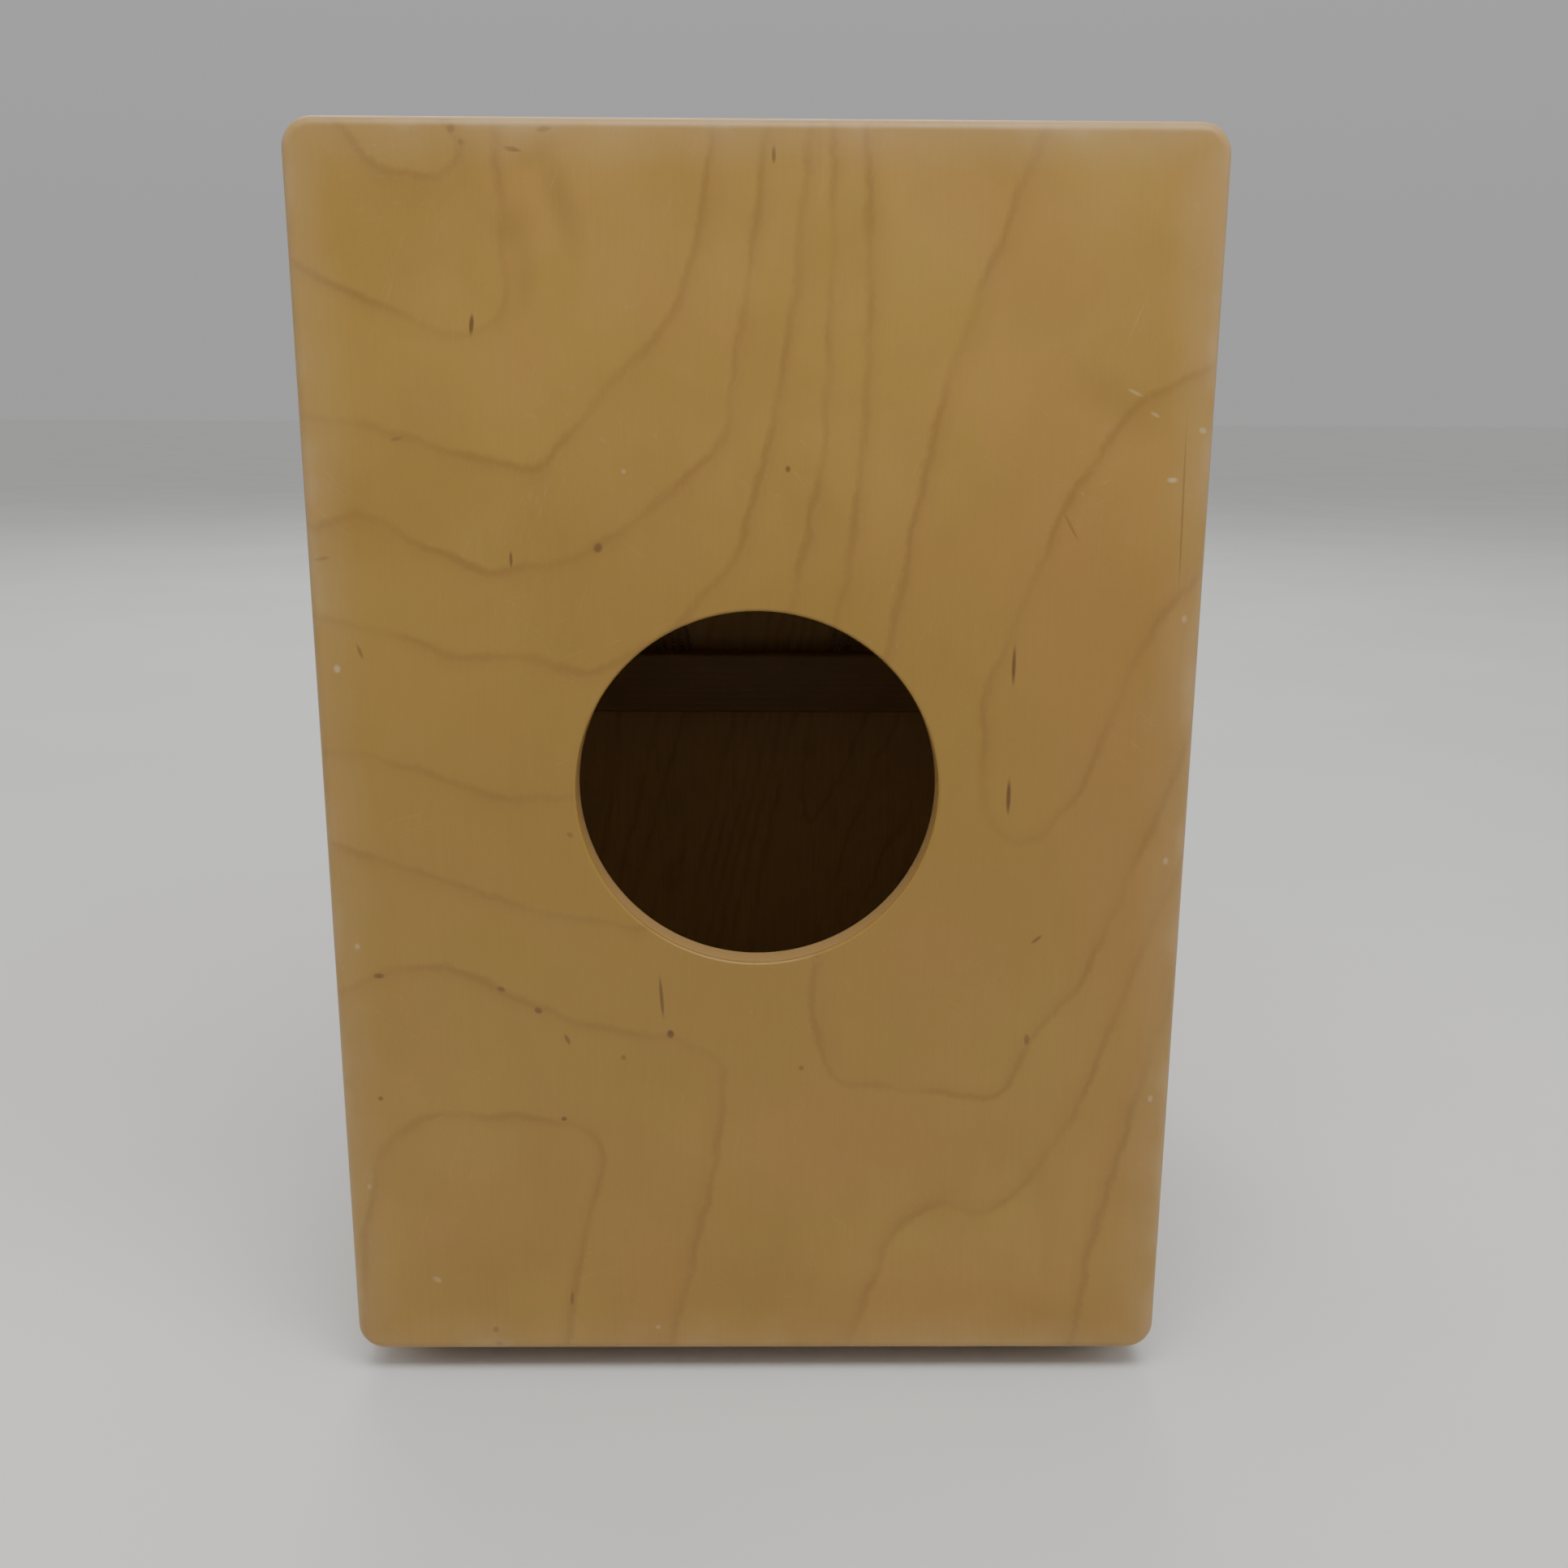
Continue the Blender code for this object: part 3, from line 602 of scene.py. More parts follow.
def planed_wood(name, axes, pith, spacing, early, late, contrast=0.75, roughness=0.62):
    """Bare planed wood with sawn rings, fine pores and a fuzzy feel."""
    finish, tree, shader = new_finish(name)
    place = along_grain(tree, axes)
    rings = place_effect(tree, sawn_rings, position=place, pith=pith, spacing=spacing)
    pores = place_effect(tree, wood_pores, position=place)
    mottle = place_effect(tree, veneer_mottle, position=place)
    colour = stained(tree, early, rings["Late"], contrast, late)
    colour = stained(tree, colour, pores["Streak"], 0.18, late)
    colour = stained(tree, colour, mottle["Tone"], 0.12, RING_BROWN)
    put_in(tree, shader.inputs["Base Color"], colour)
    put_in(tree, shader.inputs["Roughness"], maths(tree, "MULTIPLY_ADD", rings["Late"], -0.12, roughness))
    relief = maths(tree, "SUBTRACT", rings["Late"], pores["Streak"])
    add_bump(tree, shader, relief, 0.25, 0.0002)
    return finish


def dried_glue():
    """White glue dried clear and yellowish, glossy, with a skin of small ripples."""
    finish, tree, shader = new_finish("dried_glue")
    place = own_place(tree)
    ripple = noise(tree, place, 380.0, 2.0)
    clouding = fade(tree, noise(tree, place, 90.0, 2.0), 0.35, 0.65)
    put_in(tree, shader.inputs["Base Color"], tint(tree, clouding, DRY_GLUE, SPRUCE))
    put_in(tree, shader.inputs["Roughness"], maths(tree, "MULTIPLY_ADD", clouding, 0.15, 0.18))
    add_bump(tree, shader, ripple, 0.3, 0.0004)
    return finish


def rounded_section(corners, radii, steps=5):
    """A closed outline through corners, each rounded by its own radius."""
    points = []
    for i, (corner, radius) in enumerate(zip(corners, radii)):
        here = Vector(corner)
        before = (Vector(corners[i - 1]) - here).normalized()
        after = (Vector(corners[(i + 1) % len(corners)]) - here).normalized()
        half = before.angle(after) / 2
        reach = radius / math.tan(half)
        centre = here + (before + after).normalized() * radius / math.sin(half)
        start = (here + before * reach - centre).normalized()
        end = (here + after * reach - centre).normalized()
        points += [tuple(centre + radius * start.slerp(end, k / steps)) for k in range(steps + 1)]
    return points


def glue_block_mesh(name, corner, out, up, front, rear):
    """A three-cornered strip with its edges just broken, its length cut into short rings."""
    shape = bmesh.new()
    section = [(0, 0), (GLUE_LEG, 0), (GLUE_LEG, GLUE_NOSE), (GLUE_NOSE, GLUE_LEG), (0, GLUE_LEG)]
    section = rounded_section(section, GLUE_ROUNDING)
    rings = []
    for y in (front, *even(front + GLUE_END, rear - GLUE_END, GLUE_STEP), rear):
        inset = GLUE_END_INSET if y in (front, rear) else 0.0
        middle = GLUE_LEG / 3
        shrink = 1 - inset / middle
        ring = [(middle + (a - middle) * shrink, middle + (b - middle) * shrink) for a, b in section]
        rings.append([shape.verts.new((corner[0] - out * a, y, corner[1] - up * b)) for a, b in ring])
    skin(shape, rings, closed=True)
    return finish_mesh(name, shape)


def glue_bead_mesh(name, corner, out, up, front, rear, seed):
    """The two beads of squeezed-out glue along a block's legs, fatter and thinner as they go."""
    chance = np.random.default_rng(seed)
    shape = bmesh.new()
    for a, b in ((GLUE_LEG, 0.0), (0.0, GLUE_LEG)):
        swell = 0.6
        rings = []
        for y in even(front, rear, BEAD_STEP):
            swell = min(1.0, max(0.25, swell + chance.uniform(-0.16, 0.16)))
            at_end = y in (front, rear)
            radius = BEAD_RADIUS * (0.1 if at_end else swell)
            ring = []
            for angle in range(0, 360, 30):
                turn = math.radians(angle)
                along = a + radius * math.cos(turn) * (BEAD_SPREAD if a else 1.0)
                off = b + radius * math.sin(turn) * (BEAD_SPREAD if b else 1.0)
                along = max(along, 0.0)
                off = max(off, 0.0)
                ring.append(shape.verts.new((corner[0] - out * along, y, corner[1] - up * off)))
            rings.append(ring)
        skin(shape, rings, closed=True)
    return finish_mesh(name, shape, 80)


spruce = planed_wood("planed_spruce", ("X", "Z", "Y"), (0.02, 0.19, 0.0), 0.0021, SPRUCE, SPRUCE_LATE)
bead_glue = dried_glue()
for seed, (level, up) in enumerate((("top", 1), ("bottom", -1))):
    for hand, out in (("left", 1), ("right", -1)):
        node_name = f"glue_block_{level}_{hand}"
        low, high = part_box(node_name)
        corner = (high[0] if out > 0 else low[0], high[2] if up > 0 else low[2])
        block = glue_block_mesh(f"corner_block_{level}_{hand}", corner, out, up, low[1], high[1])
        add_piece(f"corner_block_{level}_{hand}", block, spruce, (node_name,))
        front, rear = low[1] + BEAD_END_GAP, high[1] - BEAD_END_GAP
        bead = glue_bead_mesh(f"glue_bead_{level}_{hand}", corner, out, up, front, rear, 10 * seed + out + 1)
        add_piece(f"glue_bead_{level}_{hand}", bead, bead_glue)


# -----------------------------------------------------------------------------
# Rear panel. One sheet of the same plywood, glued over the back of the box, with its grain upright. Its outer
# edge is rounded over with a router. The sound hole is sawn through it, and the hole's edges are eased.
# -----------------------------------------------------------------------------
REAR_ARRIS = 0.0035
HOLE_RADIUS = 0.0625
HOLE_ARRIS = 0.0012
FLAT_MARGIN = 0.0004
HOLE_SIDES = 180
GROWTH_SPACING = 12
PLATE_REACH = 100.0
PLATE_SOFTNESS = 0.003
PIN_BROWN = (0.092, 0.041, 0.009, 1.0)
STAIN_ROSE = (0.250, 0.140, 0.024, 1.0)
BLUSH_ROSE = (0.318, 0.161, 0.036, 1.0)
# Painted shade for the broad patch round the sound hole.
PAINTED_SHADE_AMBER = (0.272, 0.157, 0.0235, 1.0)
NICK_PALE = (0.480, 0.350, 0.190, 1.0)

# Where growth lines cross the rear veneer. Each has its ring's number and the places that it passes, in
# millimetres: across from the panel's middle, and up from its lower edge, seen from behind the drum.
REAR_GROWTH = (
    (0, ((-134, 435), (-118, 419), (-100, 417), (-92, 426))),
    (1, ((-150, 391), (-130, 382), (-110, 373), (-95, 368), (-82, 376), (-81, 400), (-84, 435))),
    (2, ((-150, 344), (-118, 338), (-98, 331), (-72, 327), (-48, 354), (-28, 374), (-18, 400), (-14, 435))),
    (3, ((-150, 306), (-132, 312), (-108, 300), (-90, 293), (-66, 296), (-46, 306), (-20, 326), (-10, 340))),
    (3, ((-10, 340), (-4, 380), (3, 435))),
    (4, ((-150, 278), (-124, 272), (-100, 264), (-80, 265), (-56, 259), (-30, 272), (-8, 296), (2, 330))),
    (4, ((2, 330), (12, 380), (17, 435))),
    (5, ((-150, 231), (-135, 230), (-108, 223), (-90, 215), (-62, 216))),
    (5, ((12, 283), (22, 335), (24, 380), (23, 435))),
    (6, ((-150, 199), (-130, 192), (-100, 182), (-76, 174), (-42, 168))),
    (6, ((28, 283), (35, 335), (36, 380), (34, 435))),
    (7, ((-150, 142), (-134, 151), (-112, 154), (-90, 145), (-66, 132), (-32, 127), (-13, 118), (-13, 90))),
    (7, ((-13, 90), (-20, 55), (-32, 0))),
    (8, ((-148, 0), (-145, 50), (-136, 84), (-120, 96), (-92, 96), (-64, 93))),
    (8, ((-64, 93), (-56, 80), (-62, 52), (-68, 25), (-72, 0))),
    (7, ((93, 435), (82, 410), (68, 372), (58, 340), (45, 272))),
    (7, ((21, 155), (20, 135), (30, 109), (60, 106), (88, 104), (98, 126), (116, 148), (128, 180),
         (150, 240))),
    (8, ((150, 362), (122, 346), (103, 318), (90, 285), (77, 250), (78, 214), (86, 201), (98, 202))),
    (8, ((98, 202), (112, 218), (124, 250), (134, 276), (150, 295))),
    (6, ((34, 0), (50, 50), (62, 58), (70, 63), (80, 57), (92, 62), (104, 76), (118, 102), (145, 185))),
    (5, ((118, 0), (125, 45), (134, 85), (142, 120), (150, 150))),
)

# Pin knots and flecks in the rear veneer: across and up as above, half width and half length in millimetres,
# lean in degrees, and how dark each is.
REAR_FLECKS = (
    (-92, 372, 0.7, 3.0, 6, 0.85),
    (-53, 301, 1.3, 1.6, 30, 0.95),
    (-82, 297, 0.5, 2.4, 0, 0.70),
    (5, 424, 0.6, 2.4, 0, 0.80),
    (10, 327, 0.8, 1.0, 0, 0.70),
    (-118, 336, 1.8, 0.5, -10, 0.45),
    (87, 262, 0.6, 6.0, 0, 0.85),
    (87, 216, 0.7, 5.5, 0, 0.85),
    (99, 164, 0.6, 2.2, 50, 0.60),
    (97, 126, 0.9, 2.0, 0, 0.70),
    (-34, 142, 0.6, 7.0, -4, 0.70),
    (-134, 150, 1.8, 0.9, 0, 0.85),
    (-91, 145, 1.4, 0.9, 20, 0.75),
    (-78, 137, 1.4, 1.1, 30, 0.90),
    (-31, 128, 1.2, 1.5, 0, 0.90),
    (-68, 126, 0.7, 2.0, -25, 0.60),
    (-48, 119, 0.9, 1.0, 0, 0.45),
    (16, 115, 0.9, 0.9, 0, 0.45),
    (-136, 103, 0.9, 0.8, 0, 0.65),
    (-70, 95, 1.0, 0.8, 0, 0.75),
    (-69, 22, 0.7, 2.6, 4, 0.65),
    (-98, 9, 1.0, 1.2, 0, 0.60),
    (-97, 3, 1.4, 1.0, 0, 0.75),
    (-77, 425, 2.6, 0.7, 10, 0.60),
    (-67, 431, 2.2, 0.8, -10, 0.60),
    (-96, 431, 1.2, 1.3, 0, 0.70),
    (-93, 427, 0.8, 0.9, 0, 0.60),
    (-134, 266, 0.6, 2.4, -20, 0.50),
    (-145, 297, 2.6, 0.6, -10, 0.55),
    (-65, 202, 1.2, 0.8, 30, 0.40),
    (141, 314, 0.35, 24.0, -1, 0.45),
    (104, 309, 0.5, 5.0, -30, 0.35),
)

# Soft stains in the rear veneer, laid out in the same way.
REAR_STAINS = (
    (-62, 410, 4, 13, -16, 0.62),
    (-78, 402, 5, 6, 20, 0.60),
    (-70, 424, 7, 3, -25, 0.50),
    (-74, 388, 3, 9, 0, 0.40),
    (118, 349, 16, 6, 28, 0.40),
    (-115, 412, 12, 5, 8, 0.30),
    (35, 405, 7, 16, 0, 0.28),
    (107, 16, 9, 6, 20, 0.30),
    (140, 240, 4, 40, -14, 0.22),
    (108, 55, 4, 22, -6, 0.20),
)

# The broad patch round the sound hole, darker and more amber: painted shade across the panel's middle, laid
# out in the same way.
REAR_PAINTED_SHADE = ((0, 195, 175, 95, 0, 0.75),)

# Broad rosy patches in the rear veneer, laid out in the same way.
REAR_BLUSH = (
    (62, 160, 30, 26, 10, 0.45),
    (40, 86, 44, 22, 0, 0.55),
    (66, 22, 40, 16, 0, 0.50),
    (114, 258, 24, 78, -10, 0.62),
    (-40, 45, 24, 40, 0, 0.35),
    (-100, 60, 34, 30, 0, 0.30),
    (-112, 190, 26, 14, 0, 0.30),
    (132, 130, 20, 120, 0, 0.45),
)

# Small pale nicks, where the lacquer has been knocked.
REAR_NICKS = (
    (-142, 260, 1.0, 1.3, 0, 0.80),
    (137, 324, 1.5, 0.8, 0, 0.80),
    (146, 340, 1.2, 0.9, 20, 0.70),
    (144, 278, 0.8, 1.2, 0, 0.60),
    (143, 193, 0.8, 1.2, 0, 0.65),
    (143, 103, 0.8, 1.2, 0, 0.65),
    (-141, 161, 0.9, 1.0, 0, 0.60),
    (-119, 30, 1.6, 1.0, 30, 0.45),
    (-37, 10, 0.8, 0.8, 0, 0.60),
    (-142, 68, 0.8, 1.0, 0, 0.50),
    (123, 352, 2.2, 0.5, 25, 0.45),
    (130, 345, 1.6, 0.5, 30, 0.45),
    (-44, 326, 0.7, 0.7, 0, 0.45),
)


def make_veneer_mark():
    """One oval mark of a given size and lean at a place in the veneer."""
    inputs = (
        AT_ORIGIN,
        ("Place", "Vector", (0.0, 0.0, 0.0)),
        ("Lean", "Float", 0.0),
        ("Reach", "Vector", (1.0, 1.0, 1.0)),
        ("Edge", "Float", 0.5),
        ("Dark", "Float", 1.0),
    )
    tree, got, put = new_effect("veneer_mark", inputs, ("Mark",))
    away = vectors(tree, "SUBTRACT", got["Position"], got["Place"])
    lean = {"Vector": away, "Axis": (0.0, 1.0, 0.0), "Angle": got["Lean"]}
    leaning = node(tree, "VectorRotate", lean).outputs[0]
    reach = length(tree, vectors(tree, "DIVIDE", leaning, got["Reach"]))
    inner = maths(tree, "SUBTRACT", 1.0, got["Edge"])
    outer = maths(tree, "ADD", 1.0, got["Edge"])
    put_in(tree, put["Mark"], times(tree, fade(tree, reach, inner, outer, 1.0, 0.0), got["Dark"]))
    return tree


veneer_mark = make_veneer_mark()
rear_low, rear_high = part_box("rear_panel")
hole_centre = (0.0, (rear_low[2] + rear_high[2]) / 2)


def rear_marks(tree, place, veneer):
    """The rear veneer's painted shade round the sound hole, and its stains, flecks and nicks, one by one."""
    # The first kind is painted shade: a broad darker patch round the sound hole.
    kinds = ((REAR_PAINTED_SHADE, 0.7, PAINTED_SHADE_AMBER), (REAR_BLUSH, 0.9, BLUSH_ROSE), (REAR_STAINS, 0.9, STAIN_ROSE))
    kinds += ((REAR_FLECKS, 0.45, PIN_BROWN), (REAR_NICKS, 0.5, NICK_PALE))
    for marks, edge, colour in kinds:
        for across, up, half_width, half_length, lean, dark in marks:
            mark = place_effect(
                tree,
                veneer_mark,
                position=place,
                place=(-across / MILLIMETRES, rear_high[1], rear_low[2] + up / MILLIMETRES),
                lean=math.radians(lean),
                reach=(half_width / MILLIMETRES, 1.0, half_length / MILLIMETRES),
                edge=edge,
                dark=dark,
            )
            veneer = tint(tree, mark["Mark"], veneer, colour)
    return veneer


def rear_figure():
    """The rear veneer's growth surface: a thin plate bent to pass through all of its growth lines."""
    spots = []
    levels = []
    for ring, line in REAR_GROWTH:
        for start, end in zip(line, line[1:]):
            for step in even(0.0, 1.0, GROWTH_SPACING / math.dist(start, end)):
                spots.append(np.array(start) + (np.array(end) - np.array(start)) * step)
                levels.append(ring)
    spots = np.array(spots)

    def bend(squared):
        return 0.5 * squared * np.log(squared + 1e-12)

    count = len(spots)
    plate = np.zeros((count + 3, count + 3))
    plate[:count, :count] = bend(((spots[:, None] - spots[None]) ** 2).sum(-1) / PLATE_REACH**2)
    plate[:count, :count] += PLATE_SOFTNESS * np.eye(count)
    plate[:count, count] = plate[count, :count] = 1.0
    plate[:count, count + 1 :] = spots / PLATE_REACH
    plate[count + 1 :, :count] = spots.T / PLATE_REACH
    weights = np.linalg.solve(plate, np.r_[np.array(levels, float), 0.0, 0.0, 0.0])
    inner_figure = rolling_figure(31, (0, 1, 2))

    def growth(points):
        seen = np.stack([-points[:, 0], points[:, 2] - rear_low[2]], 1) * MILLIMETRES
        total = weights[count] + seen @ weights[count + 1 :] / PLATE_REACH
        for spot, weight in zip(spots, weights):
            total = total + weight * bend(((seen - spot) ** 2).sum(-1) / PLATE_REACH**2)
        outside = points[:, 1] > (rear_low[1] + rear_high[1]) / 2
        return np.where(outside, total, inner_figure(points))

    return growth


def rounded_outline(low, high, radius, inset):
    """A rectangle with rounded corners, drawn in all round by an inset, with points all along its sides."""
    left, right = low[0] + radius, high[0] - radius
    bottom, top = low[1] + radius, high[1] - radius
    corners = ((right, top, 0), (left, top, 90), (left, bottom, 180), (right, bottom, 270))
    points = []
    for i, (a, b, start) in enumerate(corners):
        points += arc(a, b, radius - inset, start, start + 90, 12)
        next_a, next_b, next_start = corners[(i + 1) % 4]
        begin = Vector(points[-1])
        end = Vector(arc(next_a, next_b, radius - inset, next_start, next_start, 1)[0])
        steps = even(0, 1, FIGURE_STEP / (end - begin).length)
        points += [tuple(begin.lerp(end, step)) for step in steps[1:-1]]
    return points


ends = ((rear_low[0], rear_low[2]), (rear_high[0], rear_high[2]))
back, face = rear_low[1], rear_high[1]
outlines = [(back, rounded_outline(*ends, CORNER_RADIUS, 0.0))]
for level, inset in arc(face - REAR_ARRIS, REAR_ARRIS, REAR_ARRIS, 270, 360, 14):
    outlines.append((level, rounded_outline(*ends, CORNER_RADIUS, inset)))
outlines.append((face, rounded_outline(*ends, CORNER_RADIUS, REAR_ARRIS + FLAT_MARGIN)))

wide = HOLE_RADIUS + HOLE_ARRIS
eased = arc(wide, HOLE_ARRIS, HOLE_ARRIS, 270, 180, 7)
through = [(back, wide + FLAT_MARGIN)]
through += [(back + depth, radius) for radius, depth in eased]
through += [(face - depth, radius) for radius, depth in reversed(eased)]
through.append((face, wide + FLAT_MARGIN))

rear_mesh = board_mesh(
    "rear_board", lambda a, b, level: (a, level, b), outlines, ((hole_centre, HOLE_SIDES, through),)
)
lay_figure(rear_mesh, rear_figure(), (0, 1, 2))
rear_finish = birch_ply(
    "rear_board_birch", ("X", "Y", "Z"), face, 1, (rear_low, rear_high), add_marks=rear_marks
)
add_piece("rear_board", rear_mesh, rear_finish, ("rear_panel",))


# -----------------------------------------------------------------------------
# Feet. Four moulded rubber feet under the base, each with a steel washer moulded into its recess and one
# pan-head screw through it. They have a fine parting line, and dust where they meet the floor.
# -----------------------------------------------------------------------------
FOOT_RADIUS = 0.014
FOOT_TIP_RADIUS = 0.0125
FOOT_RECESS_RADIUS = 0.0055
FOOT_RECESS_DEPTH = 0.0055
FOOT_EDGE = 0.001
FOOT_BORE_RADIUS = 0.0024
FOOT_RECESS_EASE = 0.0004
FOOT_TREAD = [(0.0080, 0.0), (0.0083, 0.0004), (0.0088, 0.0004), (0.0091, 0.0)]
FOOT_PARTING_DROP = 0.0028
FOOT_PARTING_HALF = 0.0002
FOOT_PARTING_BULGE = 0.00015
FOOT_SIDES = 72
WASHER_HOLE_RADIUS = 0.0022
WASHER_RADIUS = 0.0050
WASHER_THICKNESS = 0.00025
SCREW_SIDES = 28
SCREW_BREAK = 0.00008
SCREW_RIM = 0.0003
SCREW_NECK = 0.0004
THREAD_ROOT = 0.74
THREAD_STRAIGHT = 0.82
THREAD_HALF_RIDGE = 0.26
FOOT_SCREW = {"radius": 0.0040, "head": 0.0022, "shank": 0.0019, "length": 0.0165, "pitch": 0.0016}
RUBBER = (0.020, 0.020, 0.021, 1.0)
RUBBER_DUST = (0.150, 0.140, 0.125, 1.0)
ZINC = (0.560, 0.570, 0.580, 1.0)
ZINC_YELLOW = (0.600, 0.540, 0.400, 1.0)
# Spots of grime, and also the painted shade of a screw's cross recess.
GRIME_AND_RECESS_SHADE = (0.090, 0.075, 0.055, 1.0)
# Painted shade for the cross recess: the steel darkens between these depths below its top.
RECESS_SHADE_START = -0.0003
RECESS_SHADE_DEEP = -0.0009


def make_handled_metal():
    """What handling leaves on plated metal: dull patches, fine scratches, and spots of grime."""
    tree, got, put = new_effect("handled_metal", (AT_ORIGIN,), ("Dull", "Scratch", "Grime"))
    place = got["Position"]
    put_in(tree, put["Dull"], fade(tree, noise(tree, place, 620.0, 4.0, 0.6), 0.36, 0.66))
    hair = noise(tree, scaled(tree, place, (1.0, 0.06, 0.3)), 5200.0, 1.0)
    put_in(tree, put["Scratch"], fade(tree, hair, 0.56, 0.68))
    put_in(tree, put["Grime"], fade(tree, noise(tree, place, 1500.0, 3.0, 0.6), 0.58, 0.74))
    return tree


handled_metal = make_handled_metal()


def plated_steel(name, bright, warm, roughness):
    """Plated steel: bright, but warmer and duller in patches, scratched and grimy in spots, and darker below
    its own Z of zero, painted shade for a screw's cross recess.
    """
    finish, tree, shader = new_finish(name)
    place = own_place(tree)
    marks = place_effect(tree, handled_metal, position=place)
    below = part_of(tree, place, "Z")
    colour = stained(tree, bright, marks["Dull"], 0.55, warm)
    colour = stained(tree, colour, marks["Grime"], 0.45, GRIME_AND_RECESS_SHADE)
    # Painted shade: darker from just below the top down, for the cross recess.
    recess_shade = fade(tree, below, RECESS_SHADE_DEEP, RECESS_SHADE_START, 0.85, 0.0)
    colour = tint(tree, recess_shade, colour, GRIME_AND_RECESS_SHADE)
    put_in(tree, shader.inputs["Base Color"], colour)
    put_in(tree, shader.inputs["Metallic"], maths(tree, "MULTIPLY_ADD", marks["Grime"], -0.35, 1.0))
    rough = maths(tree, "MULTIPLY_ADD", marks["Dull"], 0.16, roughness)
    put_in(tree, shader.inputs["Roughness"], maths(tree, "MULTIPLY_ADD", marks["Grime"], 0.25, rough))
    add_bump(tree, shader, marks["Scratch"], 0.2, 0.00003)
    return finish


def moulded_rubber():
    """Black rubber, matt and faintly speckled, with pale dust near the floor and on its rim."""
    finish, tree, shader = new_finish("moulded_rubber")
    place = own_place(tree)
    height = part_of(tree, place, "Z")
    speckle = noise(tree, place, 2400.0, 2.0)
    cloud = fade(tree, noise(tree, place, 260.0, 4.0, 0.6), 0.42, 0.68)
    dust = times(tree, fade(tree, height, 0.0, 0.0032, 0.75, 0.12), cloud)
    put_in(tree, shader.inputs["Base Color"], tint(tree, dust, RUBBER, RUBBER_DUST))
    put_in(tree, shader.inputs["Roughness"], maths(tree, "MULTIPLY_ADD", dust, 0.25, 0.62))
    add_bump(tree, shader, speckle, 0.25, 0.0001)
    return finish


def add_turned(shape, profile, sides, closed=False):
    """Skin (radius, z) points turned about local Z. A radius may also be a function of the angle in turns."""
    rings = []
    for radius, z in profile:
        ring = []
        for i in range(sides):
            reach = radius(i / sides) if callable(radius) else radius
            angle = math.tau * i / sides
            ring.append(shape.verts.new((reach * math.cos(angle), reach * math.sin(angle), z)))
        rings.append(ring)
    skin(shape, rings, closed)
    return rings


def carve(name, mesh, cutter):
    """The mesh with another cut out of it."""
    blank = bpy.data.objects.new("blank", mesh)
    tool = bpy.data.objects.new("tool", cutter)
    for thing in (blank, tool):
        bpy.context.scene.collection.objects.link(thing)
    cut = blank.modifiers.new("cut", "BOOLEAN")
    cut.object = tool
    cut.solver = "EXACT"
    carved = bpy.data.meshes.new_from_object(blank.evaluated_get(bpy.context.evaluated_depsgraph_get()))
    carved.name = name
    for thing in (blank, tool):
        bpy.data.objects.remove(thing)
    carved.shade_smooth()
    carved.set_sharp_from_angle(angle=math.radians(35))
    return carved


def cross_recess_mesh(radius, head):
    """The tapered cross that a driver's tip fits, with rounded ends to its arms."""
    shape = bmesh.new()
    reach = 0.64 * radius
    half_width = 0.16 * radius
    depth = 0.80 * head
    rings = []
    for z, scale in ((0.001, 1.0), (-0.2 * depth, 0.97), (-0.7 * depth, 0.72), (-depth, 0.30)):
        ring = []
        for quarter in range(4):
            turn = Matrix.Rotation(quarter * math.pi / 2, 2)
            arm = [(half_width, -half_width), (reach * scale - half_width / 2, -half_width)]
            arm += [(reach * scale, -half_width / 2), (reach * scale, half_width / 2)]
            arm += [(reach * scale - half_width / 2, half_width)]
            ring += [shape.verts.new((*(turn @ Vector(point)), z)) for point in arm]
        rings.append(ring)
    skin(shape, rings, closed=True)
    return finish_mesh("cross_recess", shape)


def screw_mesh(name, size, countersunk):
    """A screw about local Z, its head's top at Z = 0, with a rolled thread, a point and a cross recess."""
    radius, head, shank = size["radius"], size["head"], size["shank"]
    root = THREAD_ROOT * shank
    pitch = size["pitch"]
    if countersunk:
        profile = [(radius - SCREW_BREAK, 0.0), (radius, -SCREW_BREAK), (radius, -SCREW_RIM)]
        for t in (0.3, 0.7, 1.0):
            profile.append((radius + (shank - radius) * t, -SCREW_RIM - (head - SCREW_RIM) * t))
    else:
        dome = np.radians((20, 40, 60, 78))
        profile = [(radius * math.sin(t), head * (0.55 * math.cos(t) - 0.55)) for t in dome]
        profile += [(radius, -0.62 * head), (radius, -0.90 * head), (radius - 0.0001, -head), (shank, -head)]
    start = -head - SCREW_NECK
    tip = -size["length"]
    taper = start + (tip - start) * THREAD_STRAIGHT

    def thread_radius(z):
        narrowing = 1.0 if z > taper else max(0.05, (z - tip) / (taper - tip))

        def radius_at(turn):
            phase = (z / pitch + turn) % 1.0
            ridge = max(0.0, 1.0 - abs(phase - 0.5) / THREAD_HALF_RIDGE)
            return narrowing * (root + (shank - root) * ridge)

        return radius_at

    profile += [(thread_radius(z), z) for z in even(start, tip, pitch / 6)]
    shape = bmesh.new()
    add_turned(shape, profile, SCREW_SIDES, closed=True)
    return carve(name, finish_mesh(name, shape), cross_recess_mesh(radius, head))


def facing(position, direction, turn=0.0):
    """A matrix that puts local +Z along a direction at a position, turned about it."""
    swing = Vector((0.0, 0.0, 1.0)).rotation_difference(Vector(direction)).to_matrix().to_4x4()
    return Matrix.Translation(position) @ swing @ Matrix.Rotation(turn, 4, "Z")


